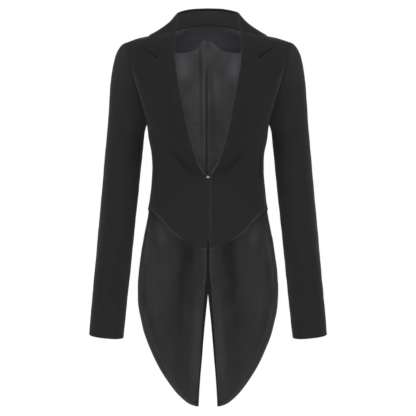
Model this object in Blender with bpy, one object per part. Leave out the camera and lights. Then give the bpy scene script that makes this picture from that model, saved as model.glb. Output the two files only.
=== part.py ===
"""Women's tailcoat, filled out as worn with no wearer inside.

Frame: the front faces -Y, +X is the wearer's left, +Z is up. The origin is between the
shoulders at the height where the collar meets them, the place where the wearer holds it.
Sizes are in millimetres until a mesh is made. Every cloth piece is a wall on one body form,
which is a stack of sections from the front hem, over the shoulder line, to the tips of the tails.
"""
import math
from collections import namedtuple

import bmesh
import bpy
from mathutils import Vector

MM = 0.001

# ---- driving sizes, mm ----
SEAM = 0.3              # gap between two pieces at a seam, and between layers with the same points
LAYER = 1.1             # gap between layers with points of their own, whose flats cut corners
CLOTH = 2.0             # main cloth with its interlining
FACING = 1.2            # self cloth behind the back neck
FACING_GAP = 2.4        # it lies where the backs curve most
LINING = 1.0            # satin
POWER = 2.0 / 2.3       # a section is a rounded oval: exponent 2.3, where 2 is an ellipse

UNDERARM = -190.0       # height of the underarm
WAIST_SEAM = -345.0     # height of the seam between the backs and the tails
BREAK = -299.0          # height where the lapels end and the hook sits
VENT_TOP = -549.0       # height where the centre-back vent opens
TAIL_TIP = -797.5       # height of the tips
SHOULDER_END = 174.0    # distance of the shoulder seam's end from the centre
NECK_SIDE = 76.0        # distance of the shoulder seam's start from the centre
CUFF = -641.0           # height of the sleeve hem
HEM_TURN = 12.0         # self cloth turned up inside the tails, which the lining leaves bare

Section = namedtuple("Section", "height half_width front back")
SECTIONS = [            # from the shoulder line down to the tips of the tails
    Section(0, 192, 0, 0),
    Section(-2, 192, 15, 37),
    Section(-8, 191, 31, 65),
    Section(-20, 188, 49, 83),
    Section(-40, 182, 67, 96),
    Section(-70, 173, 84, 105),
    Section(-110, 158, 98, 110),
    Section(-150, 143, 107, 109),
    Section(-190, 131, 111, 104),
    Section(-220, 127, 107, 97),
    Section(-250, 121, 98, 89),
    Section(-285, 119.5, 91, 84),
    Section(-320, 121.5, 90, 86),
    Section(-358, 126, 92, 93),
    Section(-400, 136, 94, 103),
    Section(-440, 146, 95, 111),
    Section(-480, 154, 96, 117),
    Section(-520, 159.5, 97, 121),
    Section(-560, 163, 98, 124),
    Section(-620, 165.5, 99, 126),
    Section(-700, 166, 100, 128),
    Section(-800, 166, 100, 130),
]

# Height of the shoulder line over the zero level at a distance from the centre.
Shoulder = namedtuple("Shoulder", "across rise")
SHOULDER_LINE = [
    Shoulder(0, 34),
    Shoulder(40, 27),
    Shoulder(75, 12.5),
    Shoulder(100, 6),
    Shoulder(127, 0),
    Shoulder(150, -5.2),
    Shoulder(174, -13.5),
    Shoulder(192, -21),
]
RISE_FADES = (-20.0, -180.0)    # the rise is whole above the first height and gone below the second

# Outlines as they show from the front: share of the edge, distance from the centre, height.
Edge = namedtuple("Edge", "share across height")
FRONT_EDGE = [                  # from the hem at the centre front to the gorge; twice = a corner
    Edge(0.00, 3.0, -456.6),
    Edge(0.05, 1.0, -434.0),
    Edge(0.12, 0.5, -410.0),
    Edge(0.35, 0.5, BREAK - 3.0),
    Edge(0.35, 0.5, BREAK - 3.0),
    Edge(0.45, 25.5, -263.0),
    Edge(0.60, 42.5, -207.0),
    Edge(0.78, 61.2, -114.6),
    Edge(0.89, 70.7, -52.0),
    Edge(0.95, 71.2, -2.0),
    Edge(0.95, 71.2, -2.0),
]
FRONT_NECK_SHARE = 0.975        # the neck seam passes the collar's last row but one here
FRONT_HEM = [                   # from the centre front to the side seam
    Edge(0.00, 3.0, -456.6),
    Edge(0.10, 11.4, -455.4),
    Edge(0.16, 18.9, -452.2),
    Edge(0.34, 40.9, -442.5),
    Edge(0.54, 65.8, -427.6),
    Edge(0.67, 80.6, -415.6),
    Edge(0.87, 105.4, -387.6),
]
FRONT_HEM_SIDE = -356.0
FRONT_ROWS = [0.0, 0.07, 0.14, 0.21, 0.28, 0.35, 0.43, 0.52]    # up to the underarm
FRONT_UNDERARM = 0.60           # share of the front's height where the armhole starts
FRONT_COLUMNS = 9
BACK_ROWS = [0.0, 0.084, 0.168, 0.252, 0.336]
BACK_UNDERARM = 0.42
BACK_COLUMNS = 12
NECK_SHARE = 0.5                # share of the back's top edge that the neck takes
ARMHOLE_STEPS = 12              # fronts, backs and sleeves share these points round the armhole

ARMHOLE_FRONT = [               # shares count from the shoulder seam; the underarm is at 1
    Edge(0.00, SHOULDER_END, -13.5),
    Edge(0.10, 173.0, -33.0),
    Edge(0.25, 168.5, -60.0),
    Edge(0.40, 159.5, -87.0),
    Edge(0.58, 148.5, -123.0),
    Edge(0.80, 137.0, -162.0),
    Edge(0.92, 132.5, -182.0),
]
ARMHOLE_BACK = [
    Edge(0.00, SHOULDER_END, -13.5),
    Edge(0.10, 170.0, -33.0),
    Edge(0.25, 163.0, -58.0),
    Edge(0.42, 154.0, -90.0),
    Edge(0.60, 145.0, -121.0),
    Edge(0.78, 135.5, -155.0),
    Edge(0.91, 130.5, -180.0),
]

Span = namedtuple("Span", "height across")
TAIL_EDGE = [                   # outer edge of a tail, seen from the front
    Span(TAIL_TIP, 26.0),
    Span(-795.0, 34.2),
    Span(-790.8, 42.8),
    Span(-782.0, 53.8),
    Span(-765.0, 70.3),
    Span(-735.0, 92.7),
    Span(-705.0, 110.3),
    Span(-675.0, 124.0),
    Span(-644.6, 135.7),
    Span(-614.5, 143.6),
    Span(-584.0, 149.6),
    Span(-554.0, 151.4),
    Span(-524.0, 150.7),
    Span(-494.0, 148.1),
    Span(-464.0, 144.0),
    Span(-434.0, 138.9),
    Span(-404.0, 132.7),
    Span(-374.0, 127.5),
    Span(-358.0, 127.0),
]
VENT = [                        # inner edge of a tail
    Span(TAIL_TIP, 21.1),
    Span(-765.0, 19.5),
    Span(-735.0, 17.5),
    Span(-705.0, 14.9),
    Span(-675.0, 12.4),
    Span(-644.6, 9.8),
    Span(-614.5, 7.0),
    Span(-584.0, 3.7),
    Span(VENT_TOP, 0.0),
]
FLUTE_START = -400.0            # the tails' soft flutes grow from here to the tips
FLUTE_DEPTH = 7.0
FLUTE_LENGTH = 92.0
FLUTE_CENTRE = 49.0             # distance of the deepest inward fold from the centre
TAIL_ROWS = 19
TAIL_COLUMNS = 10
TAIL_ROW_SPREAD = 1.6           # the rows lie closer together towards the tip
TIP_TURN_SHARE = 0.3            # the turned-up hem takes no more of the tail's width than this
BARE_ROWS = 3                   # rows at the tip that the lining leaves bare
VENT_TURN_GROWS = 50.0          # the vent's hem widens over this height above the vent's top
SIDE_MEETS_TAIL = -372.0        # above this height the tail's edge lies on the side seam

# ---- linings and the facing inside the back neck ----
FACING_EDGE = [                 # lower edge of the facing, seen from the front
    Edge(0.00, 0.0, -9.0),
    Edge(0.14, 14.0, -10.5),
    Edge(0.28, 28.0, -17.0),
    Edge(0.44, 45.0, -27.0),
    Edge(0.62, 65.0, -32.0),
    Edge(0.80, 86.0, -27.0),
    Edge(0.95, 106.0, -10.0),
]
FACING_END = 113.0              # where the facing ends on the shoulder seam
FACING_ROWS = 5
FACING_COLUMNS = 20
LINING_ROWS = 12
LINING_COLUMNS = [0.0, 0.02, 0.035, 0.085, 0.10, 0.2, 0.32, 0.45, 0.6, 0.75, 0.88, 1.0]
PLEAT = (0.02, 0.035, 0.085, 0.10)      # columns where the ease pleat rises, is full and falls
PLEAT_DEPTH = 2.2
PLEAT_GROWS = 0.25              # share of the lining's height over which the pleat opens
LINING_NECK_SHARE = 0.6         # share of the lining's top edge that runs along the facing
LINING_SHOULDER_SHARE = 0.52    # share of the shoulder seam that the lining runs along
LINING_BELOW_FACING = 0.07      # in levels
LINING_INSIDE_SEAM = 0.03       # in radians, short of the side seam
LINING_INSIDE_ARMHOLE = 0.05    # in radians
LINING_OVER_WAIST = 3.0

# ---- lapel, seen from the front ----
LAPEL_ROLL = [                  # from the gorge down to the hook
    Edge(0.00, 69.7, 0.0),
    Edge(0.17, 69.7, -52.0),
    Edge(0.37, 60.2, -114.6),
    Edge(0.67, 41.5, -207.0),
    Edge(0.86, 24.7, -263.0),
    Edge(1.00, 4.6, BREAK),
]
LAPEL_OUTER = [                 # from the peak down to the hook
    Edge(0.00, 148.5, -20.5),
    Edge(0.08, 152.5, -44.0),
    Edge(0.19, 151.6, -76.0),
    Edge(0.33, 144.0, -112.4),
    Edge(0.47, 131.0, -151.0),
    Edge(0.60, 114.0, -183.5),
    Edge(0.71, 94.6, -211.5),
    Edge(0.82, 74.0, -238.0),
    Edge(0.90, 51.6, -261.0),
    Edge(0.96, 28.0, -281.0),
    Edge(1.00, 7.6, BREAK),
]
NOTCH = (105.0, -47.0)          # where the gorge meets the lapel's top edge
LAPEL_TOP = [                   # gorge seam, then the top edge out to the peak
    Edge(0.00, 69.7, 0.0),
    Edge(0.25, 91.5, -18.5),
    Edge(0.50, *NOTCH),
    Edge(0.50, *NOTCH),
    Edge(1.00, 148.5, -20.5),
]
LAPEL_ROLL_LIFT = 4.0           # how far the soft roll stands off the front
LAPEL_ROLL_LEFT = 0.35          # share of that lift that is left at the hook
LAPEL_ROLL_FADES = 0.75         # share of the lapel's height from which it fades
ROLL_FULL = 0.16                # share of the lapel's width where the roll is fullest
LAPEL_ROWS = 18
LAPEL_COLUMNS = 8

# ---- collar: neck seam from above, fold line, and the fall's outer edge ----
Collar = namedtuple("Collar", "share seam_x seam_y fold_x fold_y fold_z")
COLLAR = [
    Collar(0.00, 0.0, 62.0, 0.0, 66.0, 61.7),
    Collar(0.18, 28.0, 58.0, 27.0, 62.5, 60.5),
    Collar(0.36, 52.0, 45.0, 49.0, 49.0, 56.5),
    Collar(0.53, 68.0, 26.0, 62.0, 29.0, 51.0),
    Collar(0.70, 76.0, 0.0, 68.0, 3.0, 38.5),
    Collar(0.86, 75.0, -22.0, 69.4, -19.0, 18.0),
    Collar(1.00, 71.6, -38.0, 69.7, -39.0, 0.0),
]
FALL_EDGE_BACK = [              # behind the shoulder line
    Edge(0.00, 0.0, 10.0),
    Edge(0.20, 44.0, 8.0),
    Edge(0.40, 80.0, 3.0),
    Edge(0.53, 101.0, 0.5),
    Edge(0.64, 115.0, 0.5),
]
FALL_EDGE_FRONT = [             # in front of it: down to the collar's corner, then in to the notch
    Edge(0.74, 127.0, -4.0),
    Edge(0.88, 135.5, -25.0),
    Edge(0.88, 135.5, -25.0),
    Edge(1.00, NOTCH[0] - 0.6, NOTCH[1] + 1.2),
]
FALL_LIFT = 1.0                 # the fall's edge rests this far off the shoulders
COLLAR_STATIONS = 32            # along the whole collar
STAND_SHORT = 3                 # stations that the stand leaves out at each end
STAND_INSIDE = 1.2              # the stand's foot is this far inside the panels
STAND_LIFT = 1.0
STAND_UNDER_FOLD = 2.5          # clear of the inside of the fold
STAND_LEAST = 2.0               # least height of the stand
FOLD_RADIUS = 3.0
FOLD_START = math.pi * 1.15     # the fold turns from here, on the neck side,
FOLD_END = math.pi * 0.25       # to here, where the fall leaves it
FOLD_SHARE = 0.3                # share of the fall's width that the fold takes
FALL_COLUMNS = [0.0, 0.1, 0.2, 0.3, 0.47, 0.65, 0.83, 1.0]
FALL_FULLNESS = 0.8             # how strongly the fall leaves the fold and meets its edge
FALL_SETTLE = 0.35              # how flat it comes in at its edge
STEEPEST = 0.35                 # least upward part of the shoulders' normal that still lifts it

# ---- sleeves: rings across the arm, seen from the front and from the side ----
Ring = namedtuple("Ring", "height inner outer front back")
SLEEVE_RINGS = [
    Ring(-205, 135.7, 215.7, -49, 56),
    Ring(-260, 141.2, 220.6, -50, 51),
    Ring(-313, 146.6, 225.3, -51, 46),
    Ring(-374, 152.9, 230.7, -54, 40),
    Ring(-434, 159.0, 236.0, -58, 32),
    Ring(-494, 165.2, 241.3, -62, 24),
    Ring(-554, 171.3, 246.6, -67, 16),
    Ring(-600, 176.0, 250.7, -71, 9),
    Ring(CUFF, 180.2, 254.0, -74, 4),
]
SLEEVE_LEAN = 0.095             # the rings rise towards the outer side
SLEEVE_PITCH = 0.12             # and fall towards the front
CAP_SHARE = 0.4                 # share of the sleeve's rows above the first ring
CAP_ROWS = 8
ARM_ROWS = 10
SLEEVE_SEAM = 120.0             # degrees from the outer side to each of the two sleeve seams
SLEEVE_GAP = math.radians(0.2)  # half of the gap at a sleeve seam
CAP_FULLNESS = 112.0            # how strongly the cap leaves the armhole sideways,
CAP_FORWARD = 30.0              # forwards and backwards
CAP_DOWN = (20.0, 24.0)         # and down, at the shoulder and at the underarm
CAP_SPAN = 120.0                # a cap shorter than this leaves more softly
CAP_ARRIVE = 1.1                # how strongly it runs into the first ring
CAP_OUTSIDE = 0.35              # the seam's gap
ELBOW_ROW = 5                   # of the arm's rows, where its two solids meet
Band = namedtuple("Band", "name first last")
TOP_BANDS = [                   # one cut of cloth, kept as solids whose collision stays hollow
    Band("sleeve_top_cap", 0, CAP_ROWS),
    Band("sleeve_top_upper", CAP_ROWS, CAP_ROWS + ELBOW_ROW),
    Band("sleeve_top_lower", CAP_ROWS + ELBOW_ROW, CAP_ROWS + ARM_ROWS),
]
UNDER_BANDS = [
    Band("sleeve_under_upper", 0, CAP_ROWS + ELBOW_ROW),
    Band("sleeve_under_lower", CAP_ROWS + ELBOW_ROW, CAP_ROWS + ARM_ROWS),
]

# ---- hook and eye, from the centre front ----
WIRE = 0.6                      # radius of the wire
HOOK_LIFT = 0.4                 # clear of the cloth
HOOK_DROP = 4.5                 # below the lapels' end
EYE_MIDDLE = 3.2
EYE_RADIUS = 1.6
EYE_LEG = 6.9                   # where the eye's two legs are sewn down
HOOK_LEG = -6.0                 # where the hook's two legs are sewn down
HOOK_RADIUS = 0.9               # half of the distance between them
HOOK_BEND = (-3.2, -0.6)        # the hook rises off the cloth between these
HOOK_BILL = 3.4                 # where the bill starts to turn
HOOK_TIP = 4.3

CLOTH_COLOUR = (0.021, 0.021, 0.023, 1.0)
LINING_COLOUR = (0.036, 0.036, 0.038, 1.0)
METAL_COLOUR = (0.62, 0.62, 0.63, 1.0)


# ---- curves ----
def blend(start, leave, end, arrive, u):
    """Cubic from one place to another that leaves and arrives along the given directions."""
    return (start * (2 * u ** 3 - 3 * u ** 2 + 1) + leave * (u ** 3 - 2 * u ** 2 + u)
            + end * (3 * u ** 2 - 2 * u ** 3) + arrive * (u ** 3 - u ** 2))


def curve(rows):
    """Smooth curve through rows of (key, values...), keys rising; a repeated row is a corner."""
    runs = [[rows[0]]]
    for row in rows[1:]:
        if row[0] == runs[-1][-1][0]:
            runs.append([row])
        else:
            runs[-1].append(row)

    def slope(run, index, column):
        before = run[max(index - 1, 0)]
        after = run[min(index + 1, len(run) - 1)]
        return (after[column] - before[column]) / (after[0] - before[0])

    def at(key):
        run = next((each for each in runs if key <= each[-1][0]), runs[-1])
        key = min(max(key, run[0][0]), run[-1][0])
        index = next((i for i in range(len(run) - 1) if key <= run[i + 1][0]), len(run) - 2)
        start, end = run[index], run[index + 1]
        span = end[0] - start[0]
        u = (key - start[0]) / span
        values = [blend(start[column], span * slope(run, index, column),
                        end[column], span * slope(run, index + 1, column), u)
                  for column in range(1, len(start))]
        return Vector(values) if len(values) > 1 else values[0]

    return at


def smoothstep(low, high, value):
    """0 at low, 1 at high, with a soft start and end."""
    u = min(max((value - low) / (high - low), 0.0), 1.0)
    return u * u * (3.0 - 2.0 * u)


def signed_power(value):
    """Superellipse power that keeps the sign."""
    return math.copysign(abs(value) ** POWER, value)


# ---- body form: levels run from the front hem (negative) over the shoulder (0) down the back ----
LEVELS = [(-index, row.height, row.half_width, -row.front)
          for index, row in enumerate(SECTIONS)][:0:-1]
LEVELS += [(index, row.height, row.half_width, row.back) for index, row in enumerate(SECTIONS)]
LAST_LEVEL = len(SECTIONS) - 1
SHOULDER_LEVELS = 7.0           # as many levels on each side of the shoulder line show from above
section_at = curve(LEVELS)
shoulder_rise = curve(SHOULDER_LINE)


def height_at(across, level):
    """Height of the form at a distance from the centre."""
    height = section_at(level)[0]
    return height + smoothstep(RISE_FADES[1], RISE_FADES[0], height) * shoulder_rise(abs(across))


def flute(across, height):
    """How far the tails' soft folds push the cloth back."""
    growth = smoothstep(FLUTE_START, TAIL_TIP, height)
    return -FLUTE_DEPTH * growth * math.cos(math.tau * (abs(across) - FLUTE_CENTRE) / FLUTE_LENGTH)


def form(angle, level):
    """Point of the body form; the angle is 0 at the centre and a quarter turn at the side."""
    height, half_width, depth = section_at(level)
    across = half_width * signed_power(math.sin(angle))
    if level > 0:
        depth += flute(across, height)
    return Vector((across, depth * signed_power(math.cos(angle)), height_at(across, level)))


def form_normal(angle, level):
    """Outward direction of the body form."""
    turn = form(angle + 0.002, level) - form(angle - 0.002, level)
    climb = form(angle, level + 0.01) - form(angle, level - 0.01)
    return turn.cross(climb).normalized()


def bisect(wanted, low, high, value):
    """Argument between low and high where a falling value meets the wanted one."""
    for _ in range(40):
        middle = (low + high) / 2.0
        if value(middle) > wanted:
            low = middle
        else:
            high = middle
    return low


def angle_at(across, level):
    """Angle of a distance from the centre, at a level."""
    share = min(abs(across) / section_at(level)[1], 1.0)
    return math.copysign(math.asin(share ** (1.0 / POWER)), across)


def on_back(across, height):
    """Angle and level of the back at a place seen from behind."""
    level = bisect(height, 0.0, LAST_LEVEL, lambda each: height_at(across, each))
    return Vector((angle_at(across, level), level))


def on_front(across, height):
    """Angle and level of the front at a place seen from the front."""
    angle, level = on_back(across, height)
    level = -level
    return Vector((angle_at(across, level), level))


def from_above(across, depth):
    """Angle and level of the shoulders at a place seen from above."""
    def ahead(level):
        return -form(angle_at(across, level), level).y
    level = bisect(-depth, -SHOULDER_LEVELS, SHOULDER_LEVELS, ahead)
    return Vector((angle_at(across, level), level))


def placed(edge, place):
    """Rows seen from one side as rows of (share, angle, level)."""
    return [(row.share, *place(row.across, row.height)) for row in edge]


def side_place(height, sign):
    """Angle and level on the side seam."""
    return Vector((math.pi / 2, sign * on_back(0.0, height)[1]))


# ---- walls ----
def material(name, colour, roughness, metallic=0.0):
    """Plain Principled material of one piece."""
    made = bpy.data.materials.new(name)
    made.use_nodes = True
    shader = made.node_tree.nodes["Principled BSDF"]
    shader.inputs["Base Color"].default_value = colour
    shader.inputs["Roughness"].default_value = roughness
    shader.inputs["Metallic"].default_value = metallic
    made.diffuse_color = colour
    return made


def finish(name, mesh, look):
    """Object with its own material, shaded smooth, under the coat's empty."""
    colour, roughness, metallic = look
    made = bpy.data.objects.new(name, mesh)
    bpy.context.collection.objects.link(made)
    mesh.materials.append(material(name, colour, roughness, metallic))
    mesh.shade_smooth()
    mesh.set_sharp_from_angle(angle=math.radians(50))
    made.parent = bpy.data.objects["tailcoat"]
    return made


CLOTH_LOOK = (CLOTH_COLOUR, 0.85, 0.0)
LINING_LOOK = (LINING_COLOUR, 0.4, 0.0)
METAL_LOOK = (METAL_COLOUR, 0.3, 1.0)


def wall(name, look, outer, inner):
    """Closed wall between two grids of points, given in millimetres."""
    rows, columns = len(outer), len(outer[0])
    shape = bmesh.new()
    faces = [[[shape.verts.new(point * MM) for point in row] for row in grid] for grid in (outer, inner)]
    for grid in faces:
        for i in range(rows - 1):
            for j in range(columns - 1):
                shape.faces.new((grid[i][j], grid[i][j + 1], grid[i + 1][j + 1], grid[i + 1][j]))
    rim = [(0, j) for j in range(columns - 1)]
    rim += [(i, columns - 1) for i in range(rows - 1)]
    rim += [(rows - 1, j) for j in range(columns - 1, 0, -1)]
    rim += [(i, 0) for i in range(rows - 1, 0, -1)]
    for (i, j), (k, m) in zip(rim, rim[1:] + rim[:1]):
        shape.faces.new((faces[0][i][j], faces[0][k][m], faces[1][k][m], faces[1][i][j]))
    bmesh.ops.recalc_face_normals(shape, faces=shape.faces)
    mesh = bpy.data.meshes.new(name)
    shape.to_mesh(mesh)
    shape.free()
    return finish(name, mesh, look)


def mirrored(grid):
    """The same grid on the wearer's right."""
    return [[Vector((-point.x, point.y, point.z)) for point in row] for row in grid]


def wall_pair(name, look, outer, inner):
    """A wall on the wearer's left and its mirror image on the right."""
    wall(name + "_left", look, outer, inner)
    wall(name + "_right", look, mirrored(outer), mirrored(inner))


def steps(count):
    """Even shares from 0 to 1."""
    return [index / count for index in range(count + 1)]


def layers(rows, columns, place, top, thickness, shift=(0.0, 0.0)):
    """Outer and inner grids of a wall; place gives angle and level, top its height off the form."""
    outer, inner = [], []
    aside = Vector((shift[0], shift[1], 0.0))
    for s in rows:
        outer.append([])
        inner.append([])
        for t in columns:
            angle, level = place(s, t)
            point = form(angle, level) + aside
            normal = form_normal(angle, level)
            lift = top(s, t) if callable(top) else top
            outer[-1].append(point + normal * lift)
            inner[-1].append(point + normal * (lift - thickness))
    return outer, inner


def patch(bottom, top, start, end):
    """Surface between four curves: bottom and top over t, start and end over s."""
    def at(s, t):
        ruled = bottom(t) * (1 - s) + top(t) * s + start(s) * (1 - t) + end(s) * t
        corners = (bottom(0) * (1 - t) + bottom(1) * t) * (1 - s) + (top(0) * (1 - t) + top(1) * t) * s
        return ruled - corners
    return at


# ---- seams shared by neighbouring pieces ----
def armhole(rows, place, sign):
    """Curve over 0 at the shoulder to 1 at the underarm."""
    return curve(placed(rows, place) + [(1.0, *side_place(UNDERARM, sign))])


armhole_front = armhole(ARMHOLE_FRONT, on_front, -1)
armhole_back = armhole(ARMHOLE_BACK, on_back, 1)


def shoulder_seam(t):
    """From the side of the neck to the shoulder's end."""
    across = NECK_SIDE + (SHOULDER_END - NECK_SIDE) * t
    return Vector((angle_at(across, 0.0), 0.0))


def sides(share_underarm, low_height, hole, sign):
    """Side seam from a height up to the underarm, then the armhole, over 0 to 1."""
    def at(s):
        if s >= share_underarm:
            return hole(1 - (s - share_underarm) / (1 - share_underarm))
        return side_place(low_height + (UNDERARM - low_height) * s / share_underarm, sign)
    return at


# ---- body pieces ----
def panel_rows(low, underarm):
    """Shares of a panel's rows: the given ones up to the underarm, then the armhole's."""
    return low + [underarm + (1 - underarm) * each for each in steps(ARMHOLE_STEPS)]


def fronts():
    """Each front from its pointed hem to the shoulder seam."""
    neck = from_above(COLLAR[-2].seam_x, COLLAR[-2].seam_y)
    start = curve(placed(FRONT_EDGE, on_front) + [(FRONT_NECK_SHARE, *neck), (1.0, *shoulder_seam(0.0))])
    bottom = curve(placed(FRONT_HEM, on_front) + [(1.0, *side_place(FRONT_HEM_SIDE, -1))])
    end = sides(FRONT_UNDERARM, FRONT_HEM_SIDE, armhole_front, -1)
    place = patch(bottom, shoulder_seam, start, end)
    rows = panel_rows(FRONT_ROWS, FRONT_UNDERARM)
    wall_pair("front", CLOTH_LOOK,
              *layers(rows, steps(FRONT_COLUMNS), place, 0.0, CLOTH, (0.0, -SEAM / 2)))


collar_at = curve(COLLAR)


def neck_seam(t):
    """Back half of the neck seam, from the centre back to the shoulder seam."""
    row = collar_at(t * COLLAR[4].share)
    return from_above(row[0], row[1])


def back_top(t):
    """Neck seam, then the shoulder seam."""
    if t <= NECK_SHARE:
        return neck_seam(t / NECK_SHARE)
    return shoulder_seam((t - NECK_SHARE) / (1 - NECK_SHARE))


def centre_back(low, high):
    """Centre seam between two levels, over 0 at the bottom to 1 at the top."""
    return lambda s: Vector((0.0, low + (high - low) * s))


def backs():
    """Each back from the waist seam to the neck and shoulder seams."""
    low = side_place(WAIST_SEAM, 1)
    start = centre_back(low[1], back_top(0)[1])
    end = sides(BACK_UNDERARM, WAIST_SEAM, armhole_back, 1)
    place = patch(lambda t: Vector((low[0] * t, low[1])), back_top, start, end)
    rows = panel_rows(BACK_ROWS, BACK_UNDERARM)
    wall_pair("back", CLOTH_LOOK,
              *layers(rows, steps(BACK_COLUMNS), place, 0.0, CLOTH, (SEAM / 2, SEAM / 2)))


tail_half_width = curve(TAIL_EDGE)
vent = curve(VENT)


def tail_place(row, column):
    """Angle and level on a tail; the first and last column and row are the turned-up hem."""
    turn_row = HEM_TURN / (WAIST_SEAM - TAIL_TIP)
    share = 1 - (1 - row / TAIL_ROWS) ** TAIL_ROW_SPREAD
    height = WAIST_SEAM - SEAM + (TAIL_TIP - WAIST_SEAM + SEAM) * max(share, turn_row * row)
    inner, outer = vent(height), tail_half_width(height)
    turn = min(HEM_TURN, (outer - inner) * TIP_TURN_SHARE)
    vent_turn = turn * smoothstep(VENT_TOP + VENT_TURN_GROWS, VENT_TOP, height)
    if column == 0:
        across = inner
    elif column == TAIL_COLUMNS:
        across = outer
    else:
        level = on_back(outer, height)[1]
        first = angle_at(inner + max(vent_turn, CLOTH), level)
        last = angle_at(outer - turn, level)
        return Vector((first + (last - first) * (column - 1) / (TAIL_COLUMNS - 2), level))
    angle, level = on_back(across, height)
    if column == TAIL_COLUMNS and height > SIDE_MEETS_TAIL:
        angle = math.pi / 2
    return Vector((angle, level))


def tails():
    """Each tail from the waist seam to its tip, with its satin lining on the inner face."""
    rows, columns = range(TAIL_ROWS + 1), range(TAIL_COLUMNS + 1)
    shift = (SEAM / 2, SEAM / 2)
    wall_pair("tail", CLOTH_LOOK, *layers(rows, columns, tail_place, 0.0, CLOTH, shift))
    wall_pair("lining_tail", LINING_LOOK,
              *layers(rows[:-BARE_ROWS], columns[1:-1], tail_place, -CLOTH - SEAM, LINING, shift))


facing_edge = curve(placed(FACING_EDGE, on_back) + [(1.0, angle_at(FACING_END, 0.0), 0.0)])


def neck_facing():
    """One band of self cloth behind the back neck, from shoulder seam to shoulder seam."""
    def place(s, t):
        sign = math.copysign(1.0, t)
        angle, level = neck_seam(abs(t)) * (1 - s) + facing_edge(abs(t)) * s
        return Vector((sign * angle, level))
    columns = [2 * share - 1 for share in steps(FACING_COLUMNS)]
    wall("neck_facing", CLOTH_LOOK,
         *layers(steps(FACING_ROWS), columns, place, -CLOTH - FACING_GAP, FACING, (0.0, SEAM / 2)))


def back_linings():
    """Satin inside the backs, below the facing; the wearer's right half carries the pleat."""
    foot = WAIST_SEAM + LINING_OVER_WAIST
    low = side_place(foot, 1)
    gap = Vector((0.0, LINING_BELOW_FACING))
    beside_facing = (FACING_END + CLOTH - NECK_SIDE) / (SHOULDER_END - NECK_SIDE)

    def top(t):
        if t <= LINING_NECK_SHARE:
            return facing_edge(t / LINING_NECK_SHARE) + gap
        along = (t - LINING_NECK_SHARE) / (1 - LINING_NECK_SHARE)
        return shoulder_seam(beside_facing + along * LINING_SHOULDER_SHARE) + gap

    inside = Vector((LINING_INSIDE_ARMHOLE, 0.0))
    hole = curve([(share, *(armhole_back(share) - inside)) for share in steps(8)])
    end_path = sides(BACK_UNDERARM, foot, hole, 1)

    def end(s):
        angle, level = end_path(s)
        return Vector((min(angle, math.pi / 2 - LINING_INSIDE_SEAM), level))

    def bottom(t):
        return Vector(((low[0] - LINING_INSIDE_SEAM) * t, low[1]))

    def pleated(s, t):
        rises, full, falls, gone = PLEAT
        pleat = smoothstep(rises, full, t) * (1 - smoothstep(falls, gone, t))
        return base - PLEAT_DEPTH * pleat * smoothstep(0.0, PLEAT_GROWS, s)

    place = patch(bottom, top, centre_back(low[1], top(0)[1]), end)
    base = -CLOTH - LAYER
    shift = (SEAM / 2, SEAM / 2)
    rows = steps(LINING_ROWS)
    wall("lining_back_left", LINING_LOOK, *layers(rows, LINING_COLUMNS, place, base, LINING, shift))
    folded = layers(rows, LINING_COLUMNS, place, pleated, LINING, shift)
    wall("lining_back_right", LINING_LOOK, *[mirrored(grid) for grid in folded])


# ---- lapels ----
roll = curve(LAPEL_ROLL)
outer_edge = curve(LAPEL_OUTER)


def lapels():
    """Each lapel lies on its front, with a soft roll along its inner edge."""
    seen = patch(curve(LAPEL_TOP), lambda t: roll(1) * (1 - t) + outer_edge(1) * t, roll, outer_edge)

    def place(s, t):
        return on_front(*seen(s, t))

    def top(s, t):
        fade = smoothstep(1.0, LAPEL_ROLL_FADES, s)
        if t < ROLL_FULL:
            rise = math.sin(math.pi / 2 * t / ROLL_FULL)
        else:
            rise = 0.5 + 0.5 * math.cos(math.pi * (t - ROLL_FULL) / (1 - ROLL_FULL))
        lift = LAPEL_ROLL_LIFT * (LAPEL_ROLL_LEFT + (1 - LAPEL_ROLL_LEFT) * fade)
        return LAYER + CLOTH + lift * rise

    wall_pair("lapel", CLOTH_LOOK,
              *layers(steps(LAPEL_ROWS), steps(LAPEL_COLUMNS), place, top, CLOTH, (0.0, -SEAM / 2)))


# ---- collar ----
fall_edge = curve(placed(FALL_EDGE_BACK, on_back) + placed(FALL_EDGE_FRONT, on_front))


def collar_points(share):
    """Neck seam, fold line and fall edge at a share of the collar's half length."""
    seam_x, seam_y, fold_x, fold_y, fold_z = collar_at(share)
    seam = form(*from_above(seam_x, seam_y))
    fold = Vector((fold_x, fold_y, fold_z))
    angle, level = fall_edge(share)
    normal = form_normal(angle, level)
    return seam, fold, form(angle, level) + normal * (FALL_LIFT + CLOTH), normal


def surface_normal(surface, s, t, step=0.004):
    """Direction across a surface given as a function of two shares."""
    along = surface(min(s + step, 1.0), t) - surface(max(s - step, -1.0), t)
    across = surface(s, min(t + step, 1.0)) - surface(s, max(t - step, 0.0))
    return along.cross(across).normalized()


def both_sides(half):
    """Surface over -1 to 1 made from one over 0 to 1, mirrored at the centre."""
    def at(share, t):
        point = half(abs(share), t)
        return Vector((math.copysign(point.x, share) if share else 0.0, point.y, point.z))
    return at


def shell(surface, along, across, thickness):
    """Grids of a free wall whose visible side is the surface and whose back is under it."""
    seen, back = [], []
    for s in along:
        seen.append([surface(s, t) for t in across])
        back.append([surface(s, t) - surface_normal(surface, s, t) * thickness for t in across])
    return seen, back


def collar_stations():
    """Shares along the whole collar, from -1 to 1."""
    return [2 * share - 1 for share in steps(COLLAR_STATIONS)]


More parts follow.
